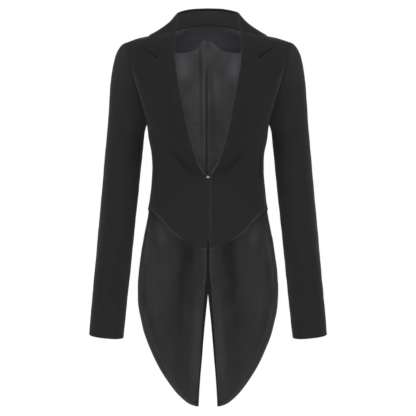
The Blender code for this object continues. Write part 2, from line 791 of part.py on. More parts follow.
def collar_stand():
    """The stand's seen side faces the neck; it stands on the neck seam inside the panels."""
    def half(share, t):
        seam, fold, _, _ = collar_points(share)
        inward = Vector((-seam.x, -seam.y * 0.8, 0.0)).normalized()
        foot = seam + inward * (CLOTH + STAND_INSIDE) + Vector((0.0, 0.0, STAND_LIFT))
        head = fold + inward * SEAM - Vector((0.0, 0.0, FOLD_RADIUS + STAND_UNDER_FOLD))
        head.z = max(head.z, foot.z + STAND_LEAST)
        return foot + (head - foot) * t
    wall("collar_stand", CLOTH_LOOK,
         *shell(both_sides(half), collar_stations()[STAND_SHORT:-STAND_SHORT], steps(3), CLOTH))


def on_fold(fold, away, turn):
    """Point of the fold's round outer side."""
    return fold + FOLD_RADIUS * (away * (1 + math.cos(turn)) + Vector((0.0, 0.0, math.sin(turn) - 1)))


def collar_fall():
    """The fall goes over the fold and down to its edge on the shoulders."""
    def half(share, t):
        _, fold, edge, _ = collar_points(share)
        away = Vector((edge.x - fold.x, edge.y - fold.y, 0.0)).normalized()
        if t < FOLD_SHARE:
            return on_fold(fold, away, FOLD_START + (FOLD_END - FOLD_START) * t / FOLD_SHARE)
        start = on_fold(fold, away, FOLD_END)
        fullness = (edge - start).length * FALL_FULLNESS
        leave = (away - Vector((0.0, 0.0, 1.0))).normalized() * fullness
        arrive = ((edge - start).normalized() + away * FALL_SETTLE).normalized() * fullness
        return lifted(blend(start, leave, edge, arrive, (t - FOLD_SHARE) / (1 - FOLD_SHARE)))
    wall("collar_fall", CLOTH_LOOK, *shell(both_sides(half), collar_stations(), FALL_COLUMNS, CLOTH))


def lifted(point):
    """The point, raised where it would sink into the shoulders."""
    angle, level = from_above(point.x, point.y)
    normal = form_normal(angle, level)
    least = form(angle, level).z + (FALL_LIFT + CLOTH) / max(normal.z, STEEPEST)
    return Vector((point.x, point.y, max(point.z, least)))


# ---- sleeves ----
ring_at = curve([(-row.height, row.inner, row.outer, row.front, row.back) for row in SLEEVE_RINGS])


def ring_point(turn, height):
    """Point of the sleeve: turn 0 is the outer side, a quarter turn the front."""
    inner_side, outer_side, front, back = ring_at(-height)
    side_radius = (outer_side - inner_side) / 2
    depth_radius = (back - front) / 2
    x = side_radius * signed_power(math.cos(turn))
    y = -depth_radius * signed_power(math.sin(turn))
    middle = Vector(((outer_side + inner_side) / 2, (back + front) / 2, height))
    return middle + Vector((x, y, SLEEVE_LEAN * x + SLEEVE_PITCH * y))


def armhole_point(turn):
    """Point of the armhole seam facing the same way as the sleeve's turn."""
    share = (turn % math.tau) / math.pi
    if share <= 1.0:
        return form(*armhole_front(share)) + Vector((0.0, -SEAM / 2, 0.0))
    return form(*armhole_back(2.0 - share)) + Vector((0.0, SEAM / 2, 0.0))


def sleeve_point(share, turn):
    """Sleeve surface: share 0 at the armhole, CAP_SHARE at the first ring, 1 at the cuff."""
    first = SLEEVE_RINGS[0].height
    if share >= CAP_SHARE:
        return ring_point(turn, first + (CUFF - first) * (share - CAP_SHARE) / (1 - CAP_SHARE))
    start = armhole_point(turn)
    end = ring_point(turn, first)
    span = (end - start).length
    low = 0.5 - 0.5 * math.cos(turn)
    down = CAP_DOWN[0] + (CAP_DOWN[1] - CAP_DOWN[0]) * low
    leave = Vector((CAP_FULLNESS * (1 - 0.9 * low), -CAP_FORWARD * math.sin(turn), -down))
    leave *= min(1.0, span / CAP_SPAN)
    arrive = (ring_point(turn, first - 10.0) - end).normalized() * span * CAP_ARRIVE
    return blend(start + leave.normalized() * CAP_OUTSIDE, leave, end, arrive, share / CAP_SHARE)


def sleeve_inward(share, turn, step=0.004, swing=0.01):
    """Direction from the sleeve's surface into the sleeve."""
    down = sleeve_point(min(share + step, 1.0), turn) - sleeve_point(max(share - step, 0.0), turn)
    around = sleeve_point(share, turn + swing) - sleeve_point(share, turn - swing)
    return down.cross(around).normalized()


def sleeves():
    """Top and under sleeve, which meet at the front and back sleeve seams, each in its bands."""
    rows = [CAP_SHARE * each for each in steps(CAP_ROWS)]
    rows += [CAP_SHARE + (1 - CAP_SHARE) * each for each in steps(ARM_ROWS)[1:]]
    seam = math.radians(SLEEVE_SEAM)
    step = math.pi / ARMHOLE_STEPS
    gap = SEAM * (1 - CAP_SHARE) / (SLEEVE_RINGS[0].height - CUFF)
    for bands, first, last in ((TOP_BANDS, -seam, seam), (UNDER_BANDS, seam, math.tau - seam)):
        turns = [first + step * each for each in range(round((last - first) / step) + 1)]
        turns[0] += SLEEVE_GAP
        turns[-1] -= SLEEVE_GAP
        for band in bands:
            shares = rows[band.first:band.last + 1]
            if band.first:
                shares[0] += gap
            seen, back = [], []
            for share in shares:
                seen.append([sleeve_point(share, turn) for turn in turns])
                back.append([point + sleeve_inward(share, turn) * CLOTH
                             for point, turn in zip(seen[-1], turns)])
            wall_pair(band.name, CLOTH_LOOK, seen, back)


# ---- hook and eye ----
def wire(name, points, look):
    """Bent round wire through points in millimetres."""
    path = bpy.data.curves.new(name, "CURVE")
    path.dimensions = "3D"
    path.bevel_depth = WIRE * MM
    path.bevel_resolution = 2
    path.use_fill_caps = True
    spline = path.splines.new("POLY")
    spline.points.add(len(points) - 1)
    for slot, point in zip(spline.points, points):
        slot.co = (*(point * MM), 1.0)
    made = bpy.data.objects.new(name, path)
    bpy.context.collection.objects.link(made)
    path.materials.append(material(name, *look))
    made.parent = bpy.data.objects["tailcoat"]
    return made


def hook_and_eye():
    """The hook's bill reaches from the right front over the bar of the eye on the left front."""
    height = BREAK - HOOK_DROP
    face = form(*on_front(CLOTH, height)).y - SEAM / 2 - HOOK_LIFT - WIRE
    bill = face - 2 * WIRE - SEAM
    loop = []
    for share in steps(8):
        turn = math.pi * (1.5 - share)
        loop.append(Vector((EYE_MIDDLE + EYE_RADIUS * math.cos(turn), face,
                            height + EYE_RADIUS * math.sin(turn))))
    legs = [Vector((EYE_LEG, face, height - EYE_RADIUS)), Vector((EYE_LEG, face, height + EYE_RADIUS))]
    wire("eye", [legs[0], *loop, legs[1]], METAL_LOOK)
    half = [(HOOK_LEG, face), (HOOK_BEND[0], face), (HOOK_BEND[1], bill), (HOOK_BILL, bill)]
    low = [Vector((across, depth, height - HOOK_RADIUS)) for across, depth in half]
    high = [Vector((across, depth, height + HOOK_RADIUS)) for across, depth in reversed(half)]
    wire("hook", [*low, Vector((HOOK_TIP, bill, height)), *high], METAL_LOOK)


def main():
    """Clear the scene and build the coat."""
    for each in list(bpy.data.objects):
        bpy.data.objects.remove(each, do_unlink=True)
    coat = bpy.data.objects.new("tailcoat", None)
    bpy.context.collection.objects.link(coat)
    fronts()
    backs()
    tails()
    neck_facing()
    back_linings()
    lapels()
    collar_stand()
    collar_fall()
    sleeves()
    hook_and_eye()


main()
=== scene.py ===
"""Looks of the tailcoat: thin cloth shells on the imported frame, its linings, hook, thread and studio.

Frame: the front faces -Y, +X is the wearer's left, +Z is up, the origin is between the shoulders.
Sizes are in millimetres until a mesh is made. A place on the coat is an angle and a level of one
body form, as in the part's own source; here its walls are finer, creased and rounded at their edges.
"""
import math
from collections import namedtuple
from functools import partial, reduce

import bpy
import numpy as np
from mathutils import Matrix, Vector

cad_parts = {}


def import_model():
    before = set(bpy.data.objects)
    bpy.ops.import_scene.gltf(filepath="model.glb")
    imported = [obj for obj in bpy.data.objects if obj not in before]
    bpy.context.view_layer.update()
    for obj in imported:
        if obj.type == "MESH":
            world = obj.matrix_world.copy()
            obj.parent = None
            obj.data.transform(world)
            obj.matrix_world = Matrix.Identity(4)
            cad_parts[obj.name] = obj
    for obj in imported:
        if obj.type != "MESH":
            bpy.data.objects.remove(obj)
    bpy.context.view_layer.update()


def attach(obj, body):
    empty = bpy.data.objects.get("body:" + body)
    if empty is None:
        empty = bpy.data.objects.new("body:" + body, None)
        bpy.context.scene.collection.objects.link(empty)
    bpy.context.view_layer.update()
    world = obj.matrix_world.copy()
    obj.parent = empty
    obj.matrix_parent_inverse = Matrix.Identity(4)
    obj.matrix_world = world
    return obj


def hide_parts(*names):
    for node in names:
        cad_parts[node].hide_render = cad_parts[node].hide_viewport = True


MM = 0.001
SIDES = {"left": 1.0, "right": -1.0}    # the wearer's, with the sign of x there
FRONT, BEHIND = -1, 1   # views of the body form, with the sign of its levels there
BACKS = ("back_left", "back_right")
STEP = 0.004            # difference in share that gives a surface its directions


def table(kind, *rows):
    """Rows of numbers with named columns."""
    return [kind(*row) for row in rows]


# ---- driving sizes, mm ----
CLOTH = 2.0             # main cloth with its interlining
FACING = 1.2            # self cloth behind the back neck
LINING = 1.0            # satin
LAYER = 1.1             # air between two layers
FACING_GAP = 2.4        # air behind the facing, and where it is sewn to the neck
FACING_SEWN = 0.5
LINING_GAP = 0.3        # between a tail and its lining
LINING_PUFF = 0.9       # and how much further it stands off where it is full
POWER = 2.0 / 2.3       # a section is a rounded oval: exponent 2.3, where 2 is an ellipse

UNDERARM = -190.0
WAIST_SEAM = -345.0
BREAK = -299.0          # height where the lapels end and the hook sits
VENT_TOP = -549.0
TAIL_TIP = -797.5
SHOULDER_END = 174.0
NECK_SIDE = 76.0
CUFF = -641.0
HEM_TURN = 11.0         # self cloth turned up inside the tails
VENT_TURN = 2.5         # and at the vent
LINING_START = 0.003    # shares of the tail's length between which its lining lies
LINING_END = 0.945
TAIL_SIDE = -372.0      # above it the tail's edge is the side seam
SIDE_GAP = 0.03         # radians from the side seam to the back lining
ARMHOLE_GAP = 0.05      # and from the armhole
LINING_DROP = 0.09      # levels from the facing's edge and the shoulder seam to the back lining

Section = namedtuple("Section", "height half_width front back")
SECTIONS = table(Section,  # from the shoulder line down to the tips of the tails
    (0, 192, 0, 0), (-2, 192, 15, 37), (-8, 191, 31, 65), (-20, 188, 49, 83), (-40, 182, 67, 96),
    (-70, 173, 84, 105), (-110, 158, 98, 110), (-150, 143, 107, 109), (-190, 131, 111, 104),
    (-220, 127, 107, 97), (-250, 121, 98, 89), (-285, 119.5, 91, 84), (-320, 121.5, 90, 86),
    (-358, 126, 92, 93), (-400, 136, 94, 103), (-440, 146, 95, 111), (-480, 154, 96, 117),
    (-520, 159.5, 97, 121), (-560, 163, 98, 124), (-620, 165.5, 99, 126), (-700, 166, 100, 128),
    (-800, 166, 100, 130))
Shoulder = namedtuple("Shoulder", "across rise")
SHOULDER_LINE = table(Shoulder,
    (0, 34), (40, 27), (75, 12.5), (100, 6), (127, 0), (150, -5.2), (174, -13.5), (192, -21))
RISE_FADES = (-180.0, -20.0)
SHOULDER_LEVELS = 7.0   # levels on each side of the shoulder line that are seen from above

Edge = namedtuple("Edge", "share across height")
FOLD_WIDTH = 3.2        # half width of the cloth's turn along the lapel's roll
BREAK_SHARE = 0.35      # share of the front's edge where the lapels end
FRONT_EDGE = table(Edge,  # centre front, then behind the roll; twice = a corner
    (0, 3, -456.6), (0.05, 1, -434), (0.12, 0.4, -410), (BREAK_SHARE, 0.4, -302), (BREAK_SHARE, 0.4, -302),
    (0.45, 27.4, -263), (0.6, 44.6, -207), (0.78, 63.4, -114.6), (0.89, 72.9, -52),
    (0.95, 72.9, -2), (0.95, 72.9, -2))
FRONT_NECK_SHARE = 0.975
FRONT_HEM = table(Edge,
    (0, 3, -456.6), (0.1, 11.4, -455.4), (0.16, 18.9, -452.2), (0.34, 40.9, -442.5),
    (0.54, 65.8, -427.6), (0.67, 80.6, -415.6), (0.87, 105.4, -387.6))
FRONT_HEM_SIDE = -356.0
FRONT_UNDERARM = 0.60
BACK_UNDERARM = 0.42
NECK_SHARE = 0.5
ARMHOLE_FRONT = table(Edge,
    (0, SHOULDER_END, -13.5), (0.1, 173, -33), (0.25, 168.5, -60), (0.4, 159.5, -87),
    (0.58, 148.5, -123), (0.8, 137, -162), (0.92, 132.5, -182))
ARMHOLE_BACK = table(Edge,
    (0, SHOULDER_END, -13.5), (0.1, 170, -33), (0.25, 163, -58), (0.42, 154, -90),
    (0.6, 145, -121), (0.78, 135.5, -155), (0.91, 130.5, -180))
Span = namedtuple("Span", "height across")
TAIL_EDGE = table(Span,
    (TAIL_TIP, 26), (-795, 34.2), (-790.8, 42.8), (-782, 53.8), (-765, 70.3), (-735, 92.7),
    (-705, 110.3), (-675, 124), (-644.6, 135.7), (-614.5, 143.6), (-584, 149.6), (-554, 151.4),
    (-524, 150.7), (-494, 148.1), (-464, 144), (-434, 138.9), (-404, 132.7), (-374, 127.5),
    (-358, 127))
VENT = table(Span,
    (TAIL_TIP, 21.1), (-765, 19.5), (-735, 17.5), (-705, 14.9), (-675, 12.4), (-644.6, 9.8),
    (-614.5, 7), (-584, 3.7), (VENT_TOP, 0))
FLUTE_START = -400.0
FLUTE_DEPTH = 7.0
FLUTE_LENGTH = 92.0
FLUTE_CENTRE = 49.0

FACING_EDGE = table(Edge,
    (0, 0, -6), (0.09, 9, -9), (0.18, 18, -17), (0.28, 28, -25.5), (0.44, 45, -30.5),
    (0.62, 65, -32.5), (0.8, 86, -27), (0.95, 106, -10))
FACING_END = 113.0
LINING_NECK_SHARE = 0.6
LINING_SHOULDER_SHARE = 0.52
PLEAT_FALLS = (0.045, 0.12)     # columns where the lining's ease pleat falls back to the lining
PLEAT_DEPTH = 2.4
PLEAT_EDGE = 0.016      # how far, in radians, its edge stands off the centre
PLEAT_OVERLAP = 0.034   # and how far the other half of the lining runs under it

LAPEL_ROLL = table(Edge,
    (0, 69.7, 0), (0.17, 69.7, -52), (0.37, 60.2, -114.6), (0.67, 41.5, -207), (0.86, 24.7, -263),
    (1, 4.6, BREAK))
LAPEL_OUTER = table(Edge,
    (0, 148.5, -24.5), (0.08, 152.5, -46), (0.19, 151.6, -76), (0.33, 144, -112.4),
    (0.47, 131, -151), (0.6, 114, -183.5), (0.71, 94.6, -211.5), (0.82, 74, -238),
    (0.9, 51.6, -261), (0.96, 28, -281), (1, 7.6, BREAK))
NOTCH = (105.0, -52.0)
LAPEL_TOP = table(Edge,
    (0, 69.7, 0), (0.25, 91.5, -20.5), (0.5, *NOTCH), (0.5, *NOTCH), (1, 148.5, -24.5))
LAPEL_ROLL_LIFT = 4.0
LAPEL_ROLL_LEFT = 0.35  # share of it that is left at the break
LAPEL_ROLL_FADES = 0.75
LAPEL_EDGE_LIFT = 2.2   # the lower outer edge stands off the front
GORGE_DIP = 1.0
ROLL_FULL = 0.16        # share of the width where the roll is highest
FOLD_STEPS = 12

Collar = namedtuple("Collar", "share seam_x seam_y fold_x fold_y fold_z")
COLLAR = table(Collar,
    (0, 0, 62, 0, 66, 61.7), (0.18, 28, 58, 27, 62.5, 60.5), (0.36, 52, 45, 49, 49, 56.5),
    (0.53, 68, 26, 62, 29, 51), (0.7, 76, 0, 68, 3, 38.5), (0.86, 75, -22, 69.4, -19, 18),
    (1, 71.6, -38, 69.7, -39, 0))
FALL_EDGE_BACK = table(Edge,
    (0, 0, 10), (0.2, 44, 8), (0.4, 80, 3), (0.53, 101, 0.5), (0.64, 115, 0.5))
FALL_EDGE_FRONT = table(Edge,
    (0.74, 127, -4), (0.88, 135.5, -27.5), (0.88, 135.5, -27.5),
    (1, NOTCH[0] - 0.6, NOTCH[1] + 2.6))
FALL_LIFT = 1.0
STAND_INSIDE = 1.2
STAND_LIFT = -0.8
STAND_UNDER_FOLD = 2.5
STAND_END = 0.82        # share of the collar's half length where the stand ends
FOLD_RADIUS = 3.0
FOLD_START = math.pi * 1.15
FOLD_END = math.pi * 0.25
FOLD_SHARE = 0.3
FALL_FULLNESS = 0.8     # how far the fall keeps its direction, and how much it swings out below
FALL_SETTLE = 0.35
STEEPEST = 0.35         # least upward share of the shoulders' direction, where the fall is raised

Ring = namedtuple("Ring", "height inner outer front back")
SLEEVE_RINGS = table(Ring,
    (-205, 135.7, 215.7, -49, 56), (-260, 141.2, 220.6, -50, 51), (-313, 146.6, 225.3, -51, 46),
    (-374, 152.9, 230.7, -54, 40), (-434, 159, 236, -58, 32), (-494, 165.2, 241.3, -62, 24),
    (-554, 171.3, 246.6, -67, 16), (-600, 176, 250.7, -71, 9), (CUFF, 180.2, 254, -74, 4))
SLEEVE_LEAN = 0.095
SLEEVE_PITCH = 0.12
SLEEVE_SEAM = 120.0     # degrees from the outer side to each of the two sleeve seams
CAP_SHARE = 0.4
CAP_FULLNESS = 112.0    # how far the cap leaves the armhole outwards, forwards and down
CAP_FORWARD = 30.0
CAP_DOWN = (20.0, 24.0)
CAP_SPAN = 120.0
CAP_ARRIVE = 1.1
ARM_RADIUS = 41.0
ARMHOLE_STEPS = 60

SLEEVE_BANDS = {        # the solids of each sleeve piece
    "sleeve_top": ("cap", "upper", "lower"),
    "sleeve_under": ("upper", "lower"),
}

# ---- cloth shells ----
RIM_TURNS = np.radians([30.0, 60.0, 90.0, 120.0, 150.0])
RIM_LIMIT = 0.45        # most of a grid step that a rim's radius takes
PRESS_AND_HIGHLIGHT_REACH = 2.0
UNPRESSED = 1e3
WAVES = ((61.0, 0.30), (37.0, 0.16), (23.0, 0.08))      # length and size

# ---- creases: a bowed line seen from the front, its depth and half width ----
Crease = namedtuple("Crease", "x0 z0 x1 z1 bow depth width")
FRONT_CREASES = table(Crease,  # depth inwards; a ridge is negative
    (10, -306, 112, -262, 8, 1.3, 11), (16, -318, 116, -318, -6, 1, 12),
    (-12, -304, -108, -270, -7, 1.2, 10), (-14, -322, -118, -312, 5, 1.1, 13),
    (128, -186, 92, -246, -7, 1.8, 10), (-127, -190, -96, -252, 6, 1.6, 9),
    (118, -292, 66, -300, 4, 1.4, 7), (-118, -284, -72, -290, -3, 1.5, 7),
    (112, -336, 60, -352, -5, 1, 9), (-116, -342, -58, -350, 4, 1.1, 9),
    (30, -340, 44, -430, 3, -1, 15), (-34, -336, -46, -424, -4, -1.1, 14),
    (150, -112, 126, -176, -6, 1.4, 8), (-151, -106, -128, -170, 5, 1.3, 8),
    (-87, -224, -16, -300, -7, 2.2, 7), (86, -226, 16, -301, 7, 2, 7),
    (164, -62, 131, -178, 0, -1, 4), (-164, -60, -131, -178, 0, -1, 4))
LAPEL_CREASES = table(Crease,
    (96, -60, 84, -170, 9, 1.1, 16), (-98, -66, -82, -164, -8, 1, 17),
    (128, -58, 112, -140, 5, -0.8, 14), (-126, -54, -114, -146, -6, -0.8, 15),
    (64, -168, 40, -240, 3, 0.9, 9), (-62, -172, -42, -236, -3, 0.8, 9))
BACK_CREASES = table(Crease,
    (-108, -286, -34, -300, 6, 2, 9), (104, -280, 40, -294, -5, 1.8, 8),
    (-112, -312, -48, -318, -4, 1.6, 8), (114, -306, 30, -322, 6, 2, 9),
    (-60, -262, 50, -270, 8, 1.2, 10), (132, -172, 88, -120, 6, 2.2, 11),
    (-130, -176, -92, -112, -7, 2, 11), (118, -196, 70, -236, -6, 1.5, 12),
    (-120, -200, -76, -244, 7, 1.6, 12), (-52, -2, -36, -86, 5, 1.2, 13),
    (48, 0, 40, -92, -5, 1.1, 13), (12, -70, 10, -240, 3, -0.8, 18))
TAIL_CREASES = table(Crease,
    (96, -372, 118, -620, 8, -2.4, 16), (-98, -376, -116, -600, -9, -2.2, 17),
    (66, -360, 84, -690, 6, 1.6, 12), (-70, -364, -80, -700, -5, 1.7, 12),
    (24, -372, 30, -520, 3, 1.2, 9), (-22, -380, -28, -560, -3, 1.3, 9),
    (124, -420, 134, -560, 3, 1.3, 9), (-126, -430, -132, -570, -3, 1.2, 8),
    (44, -600, 34, -770, -4, -1.4, 12), (-46, -590, -36, -760, 4, -1.3, 12))
LINING_CREASES = table(Crease,  # inwards only, clear of the backs
    (-64, -34, -40, -150, -6, 1.5, 9), (60, -36, 44, -170, 5, 1.4, 9),
    (-30, -60, -22, -300, -3, 1.1, 7), (34, -80, 24, -310, 4, 1.2, 8),
    (-14, -58, -12, -200, 2, 0.8, 4), (80, -110, 60, -290, 6, 1.3, 10),
    (-82, -96, -62, -280, -6, 1.4, 10), (-100, -150, -66, -190, 4, 1, 7),
    (98, -160, 62, -196, -4, 1.1, 7))
TAIL_LINING_CREASES = table(Crease,
    (112, -380, 96, -660, 8, 1.2, 11), (-108, -376, -98, -650, -7, 1.1, 12),
    (56, -372, 50, -640, 4, 1, 9), (-52, -380, -54, -620, -4, 1, 9),
    (18, -352, 26, -470, 2, 0.9, 6), (-16, -356, -24, -480, -2, 0.9, 6))
# ---- painted highlights and painted shade on the cloth and the satin, drawn as soft strokes: the depth is a share of tone ----
# painted highlights along the armholes and the centre front; painted shade under the lapels, along the hem
# and at the sides
FRONT_PAINTED_LIGHT_AND_SHADE = table(Crease,
    (164, -60, 131, -178, 0, 0.32, 3.2), (-164, -58, -131, -178, 0, 0.32, 3.2),
    (4, -290, 4, -470, 0, 0.09, 4.5), (2, -458, 68, -427, -3, -0.46, 3.5),
    (-2, -458, -68, -427, 3, -0.46, 3.5), (-87, -224, -14, -302, -7, -0.05, 7),
    (86, -226, 14, -303, 7, -0.05, 7), (-118, -238, -117, -322, 0, -0.34, 5),
    (117, -236, 116, -322, 0, -0.36, 5))
# painted highlights of the satin below the facing; painted shade along the pleat's edge and in the lining's
# hollows
LINING_PAINTED_LIGHT_AND_SHADE = table(Crease,
    (-63, -28, -52, -100, 0, 0.66, 12.5), (63, -28, 54, -100, 0, 0.57, 13),
    (-19, -18, -19, -104, 0, -0.2, 13), (19, -18, 19, -98, 0, -0.18, 13),
    (3, -38, 4, -132, 0, -0.18, 6), (-46, -104, -44, -170, 0, 0.14, 8),
    (24, -135, 24, -228, 0, -0.1, 8), (35, -172, 34, -240, 0, -0.14, 5),
    (-13, -166, -12, -256, 0, -0.12, 5), (4, -250, 3, -306, 0, 0.18, 9),
    (-3, -10, -3, -340, 0, -0.5, 1.7), (0, -4, 0, -30, 0, -0.24, 8),
    (10, -90, 8, -320, 2, -0.24, 10), (-40, -186, -12, -187, 0, -0.2, 1.8))
# painted sheen bands and painted shade on the tails' satin, and painted light just below the fronts' hem
TAIL_PAINTED_LIGHT_AND_SHADE = table(Crease,
    (-120, -330, -138, -620, -4, 0.42, 15), (120, -330, 138, -610, 4, 0.42, 15),
    (-66, -720, -50, -250, -2, -0.22, 13), (64, -710, 50, -250, 3, -0.22, 13),
    (-40, -610, -32, -250, 0, -0.16, 12), (40, -600, 32, -250, 0, -0.15, 12),
    (-24, -540, -33, -770, 2, 0.26, 9), (24, -536, 34, -764, -2, 0.26, 9),
    (-112, -378, -98, -456, 0, 0.4, 10), (113, -378, 100, -456, 0, 0.42, 10),
    (-136, -462, -142, -610, 0, -0.34, 8), (133, -452, 138, -590, 0, -0.34, 8))
HEM_PAINTED_HIGHLIGHT = 0.38         # painted highlight: inside, the turned-up hem is painted about as light as the satin
STAND_PAINTED_LIGHT = 0.13       # painted light: the stand's side at the neck, which lies in the collar's shade, is painted a little lighter
FALL_TONE = -0.03
# painted shade: the top of the neck facing, under the stand, is painted darker
FACING_TOP_PAINTED_SHADE = -0.9
LAPEL_TONE = -0.03
SLEEVE_PAINTED_LIGHT = (0.24, 0.13)     # painted light: lighter at the inner side above the elbow, which the body shades, and over the cap
Fold = namedtuple("Fold", "turn0 z0 turn1 z1 bow depth width")
SLEEVE_FOLDS = {        # turn in degrees: 0 is the outer side, 90 the front, 270 the back
    "left": table(Fold,
        (150, -196, 60, -236, 10, 2.2, 10), (140, -224, 70, -282, 8, 1.6, 11),
        (215, -190, 300, -232, 10, 2.2, 11), (165, -318, 50, -348, 8, 2, 8),
        (160, -352, 84, -362, -6, 1.7, 7), (155, -384, 40, -416, 7, 1.5, 9),
        (210, -330, 262, -352, 5, 1, 9), (58, -250, 40, -560, 9, -1.4, 13),
        (110, -430, 96, -600, 5, 1.2, 9), (20, -300, 24, -520, -6, 0.9, 12),
        (130, -560, 60, -600, 5, 1, 9), (60, -60, 84, -150, 5, 1.5, 11),
        (290, -60, 272, -160, 5, 1.6, 12)),
    "right": table(Fold,
        (152, -200, 64, -244, 9, 2, 10), (138, -236, 78, -290, 8, 1.7, 10),
        (218, -194, 298, -240, 9, 2.1, 11), (162, -326, 56, -352, 8, 1.9, 8),
        (158, -360, 88, -372, -5, 1.5, 7), (150, -396, 46, -424, 7, 1.6, 9),
        (214, -338, 260, -356, 5, 1.1, 9), (60, -240, 44, -540, 8, -1.4, 14),
        (106, -440, 98, -596, 5, 1.1, 9), (24, -310, 20, -540, -6, 0.9, 12),
        (126, -552, 64, -590, 5, 1.1, 9), (62, -64, 86, -148, 5, 1.4, 11),
        (288, -64, 270, -164, 5, 1.6, 12)),
}

# ---- hook and eye, mm from the centre and from the hook's own height ----
WIRE = 0.6              # radii
THREAD = 0.3
WRAPS = 8
HOOK_DROP = 3.7         # below the end of the lapels
HOOK_GAP = 0.55         # air behind the wire, for the cloth's unevenness
HOOK_HALF = 0.9         # half the distance between its legs
HOOK_TIP = 1.9
EYE_HALF = 1.6
EYE_BAR = 3.2
EYE_END = 6.9

# ---- finishes and studio ----
YARN = (900.0, 260.0, 1.0)      # yarns to a metre
YARN_RELIEF = 0.00008   # metres
FLOOR = -1.36           # metres: the wearer's shoulders are this high
FLOOR_REACH = 12.0
MIDDLE = (0.0, 0.0, -0.35)
PHOTO = 416             # the photograph's width and height in pixels
PIXEL = 2.15            # millimetres to a pixel
SHOULDER_ROW = 36.7     # the photograph's row at the origin's height
DISTANCE = 12.0         # metres from the camera to the origin
SURROUNDINGS = 0.45     # light that the white room sends back onto the coat
SHARP_DEPTH = 0.05      # metres behind the origin where PIXEL holds

# ---- the cut: flat width, length and area of a piece, in metres ----
Cut = namedtuple("Cut", "width length area held")


# ---- numbers and arrays ----
def mix(low, high, share):
    """Value at a share of the way from low to high."""
    return low + (high - low) * share


def ease(low, high, value):
    """0 at low, 1 at high, with a soft start and end."""
    u = np.clip((value - low) / (high - low), 0.0, 1.0)
    return u * u * (3.0 - 2.0 * u)


def bell(value, width):
    """1 at 0, fading to both sides."""
    return np.exp(-(value / width) ** 2)


def join(*values):
    """Coordinates in one array."""
    return np.stack(np.broadcast_arrays(*(np.asarray(each, float) for each in values)), -1)


def lengths(vectors):
    """Lengths of vectors, with the last axis kept."""
    return np.linalg.norm(vectors, axis=-1, keepdims=True)


def unit(vectors):
    """Vectors of length 1."""
    return vectors / np.maximum(lengths(vectors), 1e-9)


def signed_power(value):
    """Superellipse power that keeps the sign."""
    return np.sign(value) * np.abs(value) ** POWER


def spread(count, *keys):
    """Even shares from 0 to 1, or through the given keys."""
    keys = keys or (0.0, 1.0)
    shares = [keys[0]]
    for low, high in zip(keys, keys[1:]):
        part = max(1, round(count * (high - low) / (keys[-1] - keys[0])))
        shares += [low + (high - low) * (each + 1) / part for each in range(part)]
    return np.array(shares)


# ---- curves ----
def blend(start, leave, end, arrive, u):
    """Cubic from one place to another that leaves and arrives in the given directions."""
    return (start * (2 * u ** 3 - 3 * u ** 2 + 1) + leave * (u ** 3 - 2 * u ** 2 + u)
            + end * (3 * u ** 2 - 2 * u ** 3) + arrive * (u ** 3 - u ** 2))


def curve(rows):
    """Smooth curve through rows of (key, values...); a repeated row is a corner."""
    runs = [[]]
    for row in rows:
        if runs[-1] and row[0] == runs[-1][-1][0]:
            runs.append([])
        runs[-1].append(row)
    parts = []
    for run in runs:
        knots = np.array(run, float)
        index = np.arange(len(knots))
        change = knots[np.minimum(index + 1, len(knots) - 1)] - knots[np.maximum(index - 1, 0)]
        slope = change / change[:, :1]
        parts.append((knots[:-1], knots[1:], slope[:-1], slope[1:]))
    starts, ends, leaves, arrives = (np.concatenate(each) for each in zip(*parts))

    def at(key):
        key = np.clip(np.asarray(key, float), starts[0, 0], ends[-1, 0])
        part = np.clip(np.searchsorted(starts[:, 0], key, side="right") - 1, 0, len(starts) - 1)
        span = (ends[part, 0] - starts[part, 0])[..., None]
        u = (key - starts[part, 0])[..., None] / span
        values = blend(starts[part, 1:], leaves[part, 1:] * span, ends[part, 1:], arrives[part, 1:] * span, u)
        return values if values.shape[-1] > 1 else values[..., 0]

    return at


def two_parts(share, split, first, second):
    """One curve up to a share and another beyond it, each over 0 to 1."""
    share = np.asarray(share, float)
    low = first(np.minimum(share / split, 1.0))
    high = second(np.maximum((share - split) / (1 - split), 0.0))
    return np.where((share <= split)[..., None], low, high)


def patch(bottom, top, start, end):
    """Surface between four curves: bottom and top over t, start and end over s."""
    def at(s, t):
        v, u = s[..., None], t[..., None]
        ruled = bottom(t) * (1 - v) + top(t) * v + start(s) * (1 - u) + end(s) * u
        corners = ((bottom(0.0) * (1 - u) + bottom(1.0) * u) * (1 - v)
                   + (top(0.0) * (1 - u) + top(1.0) * u) * v)
        return ruled - corners
    return at


# ---- body form: levels run from the front hem (negative) over the shoulder (0) down the back ----
LEVELS = [(-index, row.height, row.half_width, -row.front)
          for index, row in enumerate(SECTIONS)][:0:-1]
LEVELS += [(index, row.height, row.half_width, row.back) for index, row in enumerate(SECTIONS)]
LAST_LEVEL = len(SECTIONS) - 1
section_at = curve(LEVELS)
shoulder_rise = curve(SHOULDER_LINE)


def height_at(across, level):
    """Height of the form at a distance from the centre."""
    height = section_at(level)[..., 0]
    return height + ease(*RISE_FADES, height) * shoulder_rise(np.abs(across))


def flute(across, height):
    """How far the tails' soft folds push the cloth back."""
    growth = ease(FLUTE_START, TAIL_TIP, height)
    return -FLUTE_DEPTH * growth * np.cos(math.tau * (np.abs(across) - FLUTE_CENTRE) / FLUTE_LENGTH)


def form(place):
    """Points of the body form; the angle is 0 at the centre and a quarter turn at the side."""
    angle, level = place[..., 0], place[..., 1]
    height, half_width, depth = np.moveaxis(section_at(level), -1, 0)
    across = half_width * signed_power(np.sin(angle))
    depth = depth + np.where(level > 0, flute(across, height), 0.0)
    return join(across, depth * signed_power(np.cos(angle)), height_at(across, level))


